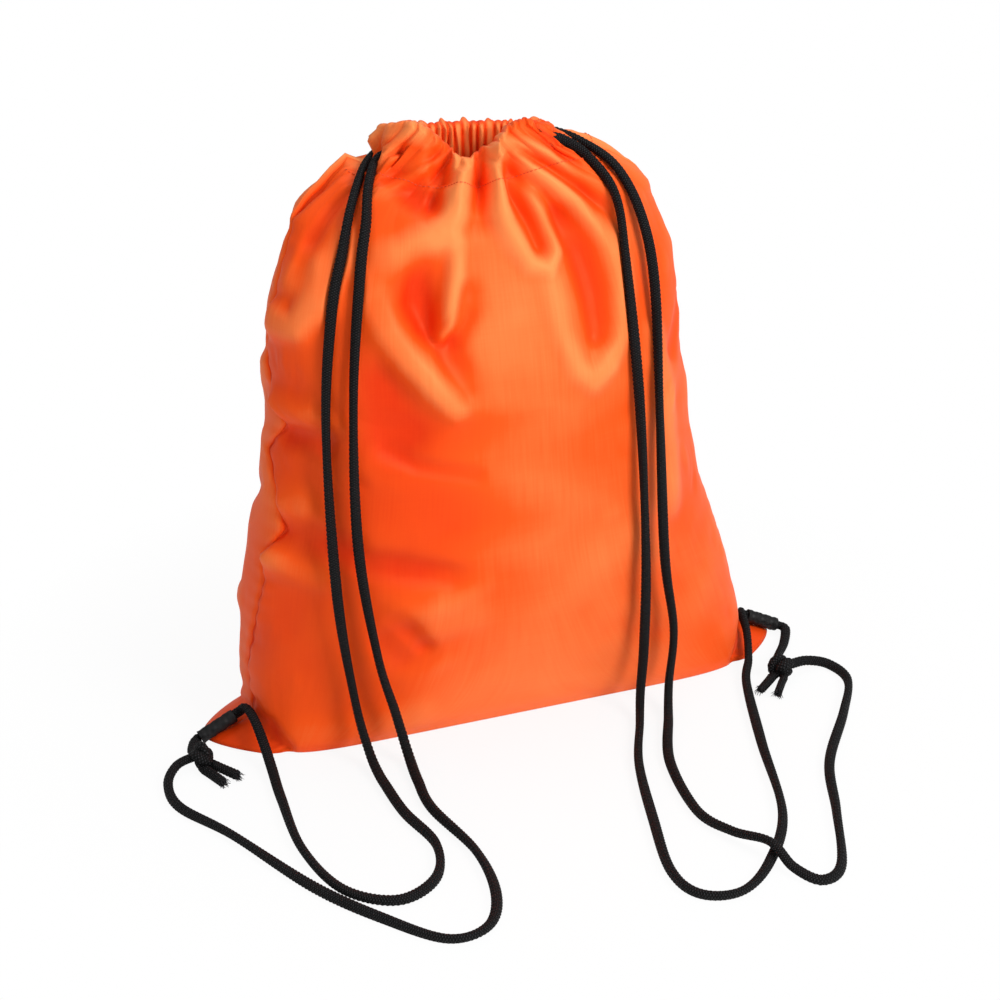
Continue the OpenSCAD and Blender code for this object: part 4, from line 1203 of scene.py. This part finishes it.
def kept_off(points, ways, line, radius, below=1.0):
    """Moves the cloth along its ways until it lies clear of the cords on a line, in a form
    that reaches down to so many radii below their middle."""
    tree = kdtree.KDTree(len(line))
    for i, p in enumerate(line):
        tree.insert(p, i)
    tree.balance()
    flat, toward = points.reshape(-1, 3), ways.reshape(-1, 3)
    moved = flat.copy()
    for i, p in enumerate(flat):
        near, _, gap = tree.find(p)
        if gap > CORD_REACH:
            continue
        v = p - np.array(near)
        a = v @ toward[i]
        b = math.sqrt(max(0.0, v @ v - a * a))
        if b < ROUND_TO * radius:
            need = math.sqrt(radius ** 2 - b * b)
        else:
            need = ROUND_END * radius - (b - ROUND_TO * radius) * SLOPE
        if a < need and need > -radius * below:
            moved[i] = p + (need - a) * toward[i]
    return moved.reshape(points.shape)


def cloth_material():
    """The bag's nylon, made once."""
    cloth = bpy.context.scene.sack_cloth
    return (bpy.data.materials.get("orange_nylon")
            or nylon("orange_nylon", tuple(cloth.colour), cloth.sheen))


GRIDS = {}            # the two formed panels' points, once they are made
OPEN_ROW, OPEN_SHARE = 14, 0.6     # the hem's inner side is cut away where the straps leave
FREE_ROWS = 6         # rows under the lip where the panels aren't joined
# The fold under the load: the heights of its two faces, and how its rings shrink.
BOTTOM_Z = (0.35, 1.0)
BOTTOM_RINGS = (1, 0.9, 0.7, 0.5, 0.3, 0.12)


class SACK_OT_cloth(bpy.types.Operator):
    """Forms the two panels with their gathered hem, and the fold under the load"""
    bl_idname = "sack.cloth"
    bl_label = "Cloth"

    def execute(self, context):
        cloth = context.scene.sack_cloth
        width, height = cloth.cut_width, cloth.cut_height
        formed = {word: panel_grid(word, cloth.columns, cloth.rows) for word in PANELS}
        GRIDS.update({word: grid for word, (grid, _, _) in formed.items()})
        join_panels(GRIDS["front"], GRIDS["back"])
        for s0, (word, (grid, painted_shading, around)) in enumerate(formed.items()):
            rows, cols = grid.shape[:2]
            share = np.linspace(0, 1, cols)
            mid = (share[1:] + share[:-1]) / 2
            keep = np.ones((rows - 1, cols - 1), bool)
            ends = np.minimum(mid, 1 - mid) < END_SHARE * OPEN_SHARE
            keep[rows - HEM_ROWS - 1 + OPEN_ROW:, ends] = False
            run = np.cumsum(np.r_[0, np.linalg.norm(np.diff(grid, axis=0), axis=2).mean(1)])
            u = (around - s0) * width / MM
            v = np.broadcast_to(run[:, None], (rows, cols))
            piece = mesh_piece(word + "_cloth", grid.reshape(-1, 3),
                               grid_faces(rows, cols, keep), cloth_material(),
                               np.stack([u, v], -1).reshape(-1, 2))
            # The fold attribute holds each point's painted light and shade, which the nylon's colour
            # reads.
            tone = piece.data.attributes.new("fold", "FLOAT", "POINT")
            tone.data.foreach_set("value", painted_shading.ravel().astype(np.float32))
            trimmed(piece)
            thick = piece.modifiers.new("Thickness", "SOLIDIFY")
            thick.thickness, thick.offset = cloth.thickness, -1
            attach(piece, "bag")
            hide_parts(word + "_panel", word + "_hem_casing")
        outline = np.concatenate([GRIDS["front"][1, :-1], GRIDS["back"][1, :-1]])
        middle = outline.mean(0) * (1, 0, 0)
        rings = [outline * (f, f, 1) + middle * (1 - f) for f in BOTTOM_RINGS]
        points, faces = closed_plate(rings, BOTTOM_Z)
        bottom = mesh_piece("bottom_cloth", points, faces, cloth_material(), points[:, :2])
        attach(bottom, "bag")
        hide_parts("base_fold")
        return {"FINISHED"}


def closed_plate(rings, heights):
    """A thin plate from an outline's shrinking rings, with a face above and one below."""
    count, levels = len(rings[0]), len(rings)
    points = np.vstack([ring * (1, 1, 0) + (0, 0, z) for z in heights for ring in rings])
    upper = levels * count
    faces = flipped(walls(levels, count)) + walls(levels, count, upper) + between(0, upper, count)
    last = np.arange(count) + upper - count
    return points, faces + [last[::-1], last + upper]


def join_panels(front, back):
    """The two panels share their edges along the side seams."""
    rows = front.shape[0] - HEM_ROWS - FREE_ROWS
    for a, b in ((0, -1), (-1, 0)):
        mean = (front[:rows, a] + back[:rows, b]) / 2
        front[:rows, a] = mean
        back[:rows, b] = mean


def trimmed(piece):
    """Drops the points that no face uses."""
    work = bmesh.new()
    work.from_mesh(piece.data)
    loose = [v for v in work.verts if not v.link_faces]
    bmesh.ops.delete(work, geom=loose, context="VERTS")
    work.to_mesh(piece.data)
    work.free()


ALLOWANCE_Z = (19, 286)       # how high the seam allowances begin and end
ALLOWANCE_IN = (2.4, 9.4)     # and how far inside the seam


class SACK_OT_side_seams(bpy.types.Operator):
    """Makes the bound seam allowances that stand inside the two sides"""
    bl_idname = "sack.side_seams"
    bl_label = "Side seams"

    def execute(self, context):
        body = GRIDS["front"][len(UNDER):-HEM_ROWS]
        for (side, word), column in zip(SIDES, (0, -1)):
            edge = body[:, column]
            edge = edge[(edge[:, 2] > ALLOWANCE_Z[0]) & (edge[:, 2] < ALLOWANCE_Z[1])]
            z = edge[:, 2]
            wave = 0.7 * np.sin(z / 9.0) + 0.5 * np.sin(z / 23.0 + 1)
            thick = 0.7 + 0.1 * np.sin(z / 5.0)
            near, far = (edge + (-side * inward, 0, 0) for inward in ALLOWANCE_IN)
            across = [(near, -thick), (far, wave - thick), (far, wave + thick), (near, thick)]
            points = np.stack([p + np.outer(y, (0, 1, 0)) for p, y in across], 1)
            n = len(points)
            faces = walls(n, 4) + [(3, 2, 1, 0), tuple(4 * n - 4 + k for k in range(4))]
            if side == LEFT:
                faces = [face[::-1] for face in faces]
            uv = np.stack([np.tile([0, 8, 9, 17], n), np.repeat(z, 4)], -1)
            piece = mesh_piece(f"{word}_seam_allowance", points.reshape(-1, 3), faces,
                               cloth_material(), uv)
            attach(piece, "bag")
            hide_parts(f"{word}_side_seam")
        return {"FINISHED"}


# ---------------------------------------------------------------- stitches
# Each stitch's pitch, length and thickness, and how far it stands off the cloth.
STITCH = {"Pitch": 2.6, "Length": 2.0, "Thickness": 0.6}
STITCH_RISE = {"hem": 0.08, "sleeve": 0.12}


def stitch_tree(name):
    """Geometry nodes: a stitch lying along the line at every pitch."""
    tree = bpy.data.node_groups.new(name, "GeometryNodeTree")
    for label, kind in (("Line", "Geometry"), ("Pitch", "Float"), ("Length", "Float"),
                        ("Thickness", "Float"), ("Material", "Material")):
        tree.interface.new_socket(label, in_out="INPUT", socket_type="NodeSocket" + kind)
    tree.interface.new_socket("Stitches", in_out="OUTPUT", socket_type="NodeSocketGeometry")
    n = Nodes(tree)
    given = n.add("NodeGroupInput").outputs
    curve = n.add("GeometryNodeMeshToCurve", Mesh=given["Line"])
    points = n.add("GeometryNodeCurveToPoints", {"mode": "LENGTH"}, Curve=curve.outputs[0],
                   Length=given["Pitch"]).outputs
    ball = n.add("GeometryNodeMeshUVSphere", Segments=8, Rings=6, Radius=0.5)
    size = n.add("ShaderNodeCombineXYZ", X=given["Thickness"], Y=given["Thickness"],
                 Z=given["Length"])
    turn = n.add("FunctionNodeAlignRotationToVector", {"axis": "Z"}, Vector=points["Tangent"])
    placed = n.add("GeometryNodeInstanceOnPoints", Points=points["Points"],
                   Instance=ball.outputs["Mesh"], Rotation=turn.outputs["Rotation"],
                   Scale=size.outputs[0])
    real = n.add("GeometryNodeRealizeInstances", Geometry=placed.outputs[0])
    paint = n.add("GeometryNodeSetMaterial", Geometry=real.outputs[0],
                  Material=given["Material"])
    n.add("NodeGroupOutput", Stitches=paint.outputs[0])
    return tree


def stitches(name, line, material):
    """Stitches along a line given in millimetres, as one plain mesh."""
    tree = bpy.data.node_groups.get("stitches") or stitch_tree("stitches")
    mesh = bpy.data.meshes.new(name)
    edges = [(i, i + 1) for i in range(len(line) - 1)]
    mesh.from_pydata((np.asarray(line) * MM).tolist(), edges, [])
    guide = link(mesh, name + "_guide")
    run = guide.modifiers.new("Stitches", "NODES")
    run.node_group = tree
    by_name = {item.name: item.identifier for item in tree.interface.items_tree
               if item.in_out == "INPUT"}
    for key, value in STITCH.items():
        run[by_name[key]] = value * MM
    run[by_name["Material"]] = material
    graph = bpy.context.evaluated_depsgraph_get()
    made = bpy.data.meshes.new_from_object(guide.evaluated_get(graph))
    made.name = name
    bpy.data.objects.remove(guide)
    made.polygons.foreach_set("use_smooth", [True] * len(made.polygons))
    return link(made, name)


def point_on(name, tree):
    """Where the ray through an image point meets a surface, or comes nearest to it."""
    x, y = POINTS[name]
    side = max(IMAGE_W, IMAGE_H)
    camera = bpy.context.scene.camera
    lens = camera.data
    turn = camera.rotation_euler.to_matrix()
    ray = turn @ Vector((x - IMAGE_W / 2 + lens.shift_x * side,
                         IMAGE_H / 2 - y + lens.shift_y * side,
                         -side * lens.lens / lens.sensor_width))
    ray.normalize()
    place = tree.ray_cast(camera.location, ray)[0]
    if place is None:
        steps = [camera.location + ray * (CAMERA_DISTANCE + d)
                 for d in np.linspace(-0.5, 0.5, 400)]
        place = min((tree.find_nearest(p) for p in steps), key=lambda found: found[3])[0]
    return np.array(place) / MM


def grid_tree(grid):
    """A formed panel, ready to be met by rays."""
    faces = grid_faces(*grid.shape[:2]).tolist()
    return BVHTree.FromPolygons((grid.reshape(-1, 3) * MM).tolist(), faces)


HEM_ENDS = 0.045      # the share of a panel beside each seam that its hem's stitches leave out


class SACK_OT_hem_stitches(bpy.types.Operator):
    """Sews the line of stitches that closes the hem, front and back"""
    bl_idname = "sack.hem_stitches"
    bl_label = "Hem stitches"

    def execute(self, context):
        thread = spun("orange_thread", tuple(context.scene.sack_fittings.thread_colour))
        front = GRIDS["front"]
        gap = np.linalg.norm(front - point_on("hem_stitches", grid_tree(front)), axis=-1)
        row = int(np.unravel_index(gap.argmin(), gap.shape)[0])
        for word, grid in GRIDS.items():
            columns = grid.shape[1]
            inner = slice(int(HEM_ENDS * columns), int((1 - HEM_ENDS) * columns))
            line = (grid[row] + STITCH_RISE["hem"] * normals(grid)[row])[inner]
            piece = stitches(f"{word}_hem_stitches", line, thread)
            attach(piece, "bag")
            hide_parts(f"{word}_hem_thread")
        return {"FINISHED"}


# ---------------------------------------------------------------- corner sleeves
SLEEVE_RINGS, SLEEVE_STEPS = 33, 40
PLY_FROM = 0.15       # where a ring starts to flatten towards its two plies
PLY_BEND = 0.7
STITCH_IN, STITCH_END = 0.35, 1.6      # the sewn line's place across the plies, and its ends


def sleeve_rings(side, x, phase):
    """The outer and inner ring of a creased sleeve, x from its inner end."""
    outer, inner = [], []
    for a in np.linspace(0, TAU, SLEEVE_STEPS, endpoint=False):
        c, s = math.cos(a), math.sin(a)
        y, z = SLEEVE_Y + SLEEVE_R * c, SLEEVE_Z + SLEEVE_R * s
        if c > PLY_FROM:
            f = (c - PLY_FROM) / (1 - PLY_FROM)
            ply = FIN_T / 2 if s > 0 else -FIN_T / 2
            y *= 1 - f
            z = z * (1 - f ** PLY_BEND) + ply * f ** PLY_BEND
        crease = (0.16 * math.sin(x * 0.9 + 3 * a + phase[0])
                  + 0.12 * math.sin(x * 1.7 - 2 * a + phase[1]))
        crease *= 1 - 0.8 * max(0.0, c) ** 0.6
        outer.append(crest_place(side, x, min(y + crease * c, 0.0), z + crease * s))
        inner.append(crest_place(side, x, SLEEVE_Y + BORE_R * c, SLEEVE_Z + BORE_R * s))
    return outer, inner


class SACK_OT_sleeves(bpy.types.Operator):
    """Makes the coated sleeves at the lower corners, with their seams' stitches"""
    bl_idname = "sack.sleeves"
    bl_label = "Corner sleeves"

    def execute(self, context):
        skin = coated("coated_black", tuple(context.scene.sack_fittings.sleeve_colour))
        thread = spun("black_thread", (0.02, 0.02, 0.02))
        rows, n = SLEEVE_RINGS, SLEEVE_STEPS
        bore = rows * n
        faces = (flipped(walls(rows, n)) + walls(rows, n, bore) + between(0, bore, n)
                 + flipped(between(bore - n, 2 * bore - n, n)))
        for side, word in SIDES:
            phase = np.random.default_rng(11 + side).uniform(0, TAU, 2)
            rings = [sleeve_rings(side, x, phase) for x in np.linspace(0, SLEEVE_LEN, rows)]
            points = np.array(rings).swapaxes(0, 1).reshape(-1, 3)
            piece = mesh_piece(f"{word}_sleeve_skin", points,
                               [f[::-1] for f in faces] if side == LEFT else faces, skin)
            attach(piece, f"{word}_sleeve")
            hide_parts(f"{word}_corner_sleeve")
            line = [crest_place(side, x, -STITCH_IN * FIN_W, FIN_T / 2 + STITCH_RISE["sleeve"])
                    for x in np.linspace(STITCH_END, SLEEVE_LEN - STITCH_END, 12)]
            row = stitches(f"{word}_sleeve_stitches", line, thread)
            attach(row, f"{word}_sleeve")
            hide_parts(f"{word}_sleeve_stitching")
        return {"FINISHED"}


# ---------------------------------------------------------------- knots
KNOT_SCALE, KNOT_HEIGHT, KNOT_CORD_R = 1.85, 1.55, 3.0
FIBRES, CUT_R = 46, 2.6
FIBRE_R = (0.24, 0.24, 0.22, 0.18, 0.1)          # a fibre's radius from its root to its tip
FIBRE_LEN, FIBRE_SPREAD, FIBRE_BEND = (1.6, 4.2), 0.35, 0.22


def rolled(p, degrees):
    """Points turned about x, then y, then z."""
    for axis, a in enumerate(np.radians(degrees)):
        c, s = math.cos(a), math.sin(a)
        i, j = (axis + 1) % 3, (axis + 2) % 3
        q = p.copy()
        q[:, i], q[:, j] = c * p[:, i] - s * p[:, j], s * p[:, i] + c * p[:, j]
        p = q
    return p


def frayed_end(rng, place, way):
    """Loose fibres that spring from a cut end."""
    points, faces = [], []
    side = unit(np.cross(way, (0, 0, 1.0)))
    up = np.cross(side, way)
    for _ in range(FIBRES):
        a, r = rng.uniform(0, TAU), CUT_R * math.sqrt(rng.uniform(0, 1))
        out = math.cos(a) * side + math.sin(a) * up
        spread = way + FIBRE_SPREAD * out * r / CUT_R
        bend = rng.normal(0, FIBRE_BEND, 3)
        long = rng.uniform(*FIBRE_LEN)
        line = np.array([place + r * out + f * long * unit(spread + f * bend)
                         for f in np.linspace(-0.3, 1, len(FIBRE_R))])
        line[:, 2] = np.maximum(line[:, 2], 0.3)
        _, n, b = carried(line)
        start = len(points)
        for p, u, v, w in zip(line, n, b, FIBRE_R):
            points += [p + w * u, p + w * v, p - w * u, p - w * v]
        last = len(points) - 4
        faces += walls(len(line), 4, start)
        faces += [tuple(start + k for k in (3, 2, 1, 0)), tuple(last + k for k in range(4))]
    return points, faces


class SACK_OT_knots(bpy.types.Operator):
    """Ties the knot at each lower corner, with its two cut and frayed tails"""
    bl_idname = "sack.knots"
    bl_label = "Knots"

    def execute(self, context):
        for index, (word, (centre, _, turn)) in enumerate(KNOTS.items()):
            a = np.linspace(0.05, TAU - 0.05, 150)
            loop = KNOT_SCALE * np.stack([(2 + np.cos(3 * a)) * np.cos(2 * a),
                                          (2 + np.cos(3 * a)) * np.sin(2 * a),
                                          KNOT_HEIGHT * np.sin(3 * a)], 1)
            knot = braided_tube(f"{word}_knot_braid", rolled(loop, turn) + centre,
                                cord_material(), radius=KNOT_CORD_R)
            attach(knot, "bag")
            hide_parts(f"{word}_knot")
            rng = np.random.default_rng(23 + index)
            fibres, fibre_faces = [], []
            for name in (f"{word}_strap_to_knot", f"{word}_cord_to_knot"):
                line = smooth_line(strap_route(name))
                points, faces = frayed_end(rng, line[-1], unit(line[-1] - line[-3]))
                fibre_faces += [[v + len(fibres) for v in face] for face in faces]
                fibres += points
            fringe = mesh_piece(f"{word}_frayed_ends", fibres, fibre_faces, cord_material(),
                                np.zeros((len(fibres), 2)))
            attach(fringe, "bag")
            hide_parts(f"{word}_cord_tails")
        return {"FINISHED"}


# ---------------------------------------------------------------- the panel and the run
class SACK_PT_panel(bpy.types.Panel):
    """Lists the sack's pieces and sizes"""
    bl_idname = "SACK_PT_panel"
    bl_label = "Drawstring sack"
    bl_space_type = "VIEW_3D"
    bl_region_type = "UI"
    bl_category = "Sack"

    def draw(self, context):
        scene = context.scene
        for group in (scene.sack_cloth, scene.sack_cords, scene.sack_fittings, scene.sack_studio):
            box = self.layout.box()
            for key in group.bl_rna.properties.keys():
                if key not in ("rna_type", "name"):
                    box.prop(group, key)
        for operator in STEPS:
            self.layout.operator(operator.bl_idname)


STEPS = [SACK_OT_stage, SACK_OT_straps, SACK_OT_hem_cords, SACK_OT_cloth, SACK_OT_side_seams,
         SACK_OT_hem_stitches, SACK_OT_sleeves, SACK_OT_knots]
GROUPS = {"sack_cloth": SackCloth, "sack_cords": SackCords, "sack_fittings": SackFittings,
          "sack_studio": SackStudio}


def register():
    for kind in [*GROUPS.values(), *STEPS, SACK_PT_panel]:
        bpy.utils.register_class(kind)
    for name, kind in GROUPS.items():
        setattr(bpy.types.Scene, name, PointerProperty(type=kind))


def unregister():
    for name in GROUPS:
        delattr(bpy.types.Scene, name)
    for kind in [SACK_PT_panel, *STEPS[::-1], *list(GROUPS.values())[::-1]]:
        bpy.utils.unregister_class(kind)


# ---------------------------------------------------------------- the image points
def pixel(p):
    """Where a place, in metres, shows in the photograph's frame."""
    camera = bpy.context.scene.camera
    lens = camera.data
    side = max(IMAGE_W, IMAGE_H)
    q = camera.rotation_euler.to_matrix().transposed() @ (Vector(p) - camera.location)
    scale = side * lens.lens / lens.sensor_width / -q.z
    return np.array([IMAGE_W / 2 - lens.shift_x * side + q.x * scale,
                     IMAGE_H / 2 + lens.shift_y * side - q.y * scale])


def write_points():
    """Compares the places that show with their image points."""
    graph = bpy.context.evaluated_depsgraph_get()
    eye = bpy.context.scene.camera.location
    made = {o.name: o for o in bpy.data.objects
            if o.type == "MESH" and o.users_collection and not o.hide_render
            and not o.name.startswith("studio")}
    trees = {name: BVHTree.FromObject(o, graph) for name, o in made.items()}

    def shows(p, behind=""):
        """Whether nothing hides a place, or nothing among the pieces whose names end so. What
        is within 1.5 mm of it doesn't count."""
        away = Vector(p) - eye
        reach = away.length - 0.0015
        return all(tree.ray_cast(eye, away.normalized(), reach)[0] is None
                   for name, tree in trees.items() if name.endswith(behind))

    def seen(name, step):
        """The pixels of a piece's points that show, one in each step of them."""
        mesh = made[name].data
        places = np.empty(3 * len(mesh.vertices))
        mesh.vertices.foreach_get("co", places)
        return np.array([pixel(p) for p in places.reshape(-1, 3)[::step] if shows(p)]
                        ).reshape(-1, 2)

    cloth = np.vstack([seen("front_cloth", 7), seen("back_cloth", 7), seen("bottom_cloth", 3)])
    sleeves = {word: seen(f"{word}_sleeve_skin", 2) for word in ("left", "right")}
    knots = {word: seen(f"{word}_knot_braid", 4) for word in ("left", "right")}
    dressed = np.vstack([cloth, *sleeves.values()])
    found = {"left_edge": (dressed[:, 0].min(), None), "right_edge": (dressed[:, 0].max(), None),
             "top_edge": (None, cloth[:, 1].min()), "bottom_edge": (None, cloth[:, 1].max())}
    for word in ("left", "right"):
        line = smooth_line(strap_route(f"{word}_strap_to_" + ("knot" if word == "left" else "sleeve")))
        found[f"{word}_cord_exit"] = next(pixel(p * MM) for p in line if shows(p * MM, "_cloth"))
        for kind, parts in (("sleeve", sleeves), ("knot", knots)):
            found[f"{word}_{kind}"] = (parts[word].min(0) + parts[word].max(0)) / 2
    row = seen("front_hem_stitches", 9)
    seam = np.array([pixel(p * MM) for p in GRIDS["front"][len(UNDER):-HEM_ROWS, 0]])
    for name, line in (("hem_stitches", row), ("left_seam_high", seam), ("left_seam_low", seam)):
        found[name] = min(line, key=lambda at: np.linalg.norm(at - POINTS[name]))
    result = {name: [None if there is None else round(float(there - given), 1)
                     for there, given in zip(found[name], point)]
              for name, point in POINTS.items()}


def main():
    register()
    bpy.ops.sack.stage()
    bpy.ops.sack.straps()
    bpy.ops.sack.hem_cords()
    bpy.ops.sack.cloth()
    bpy.ops.sack.side_seams()
    bpy.ops.sack.hem_stitches()
    bpy.ops.sack.sleeves()
    bpy.ops.sack.knots()
    write_points()


if __name__ == "__main__":
    main()
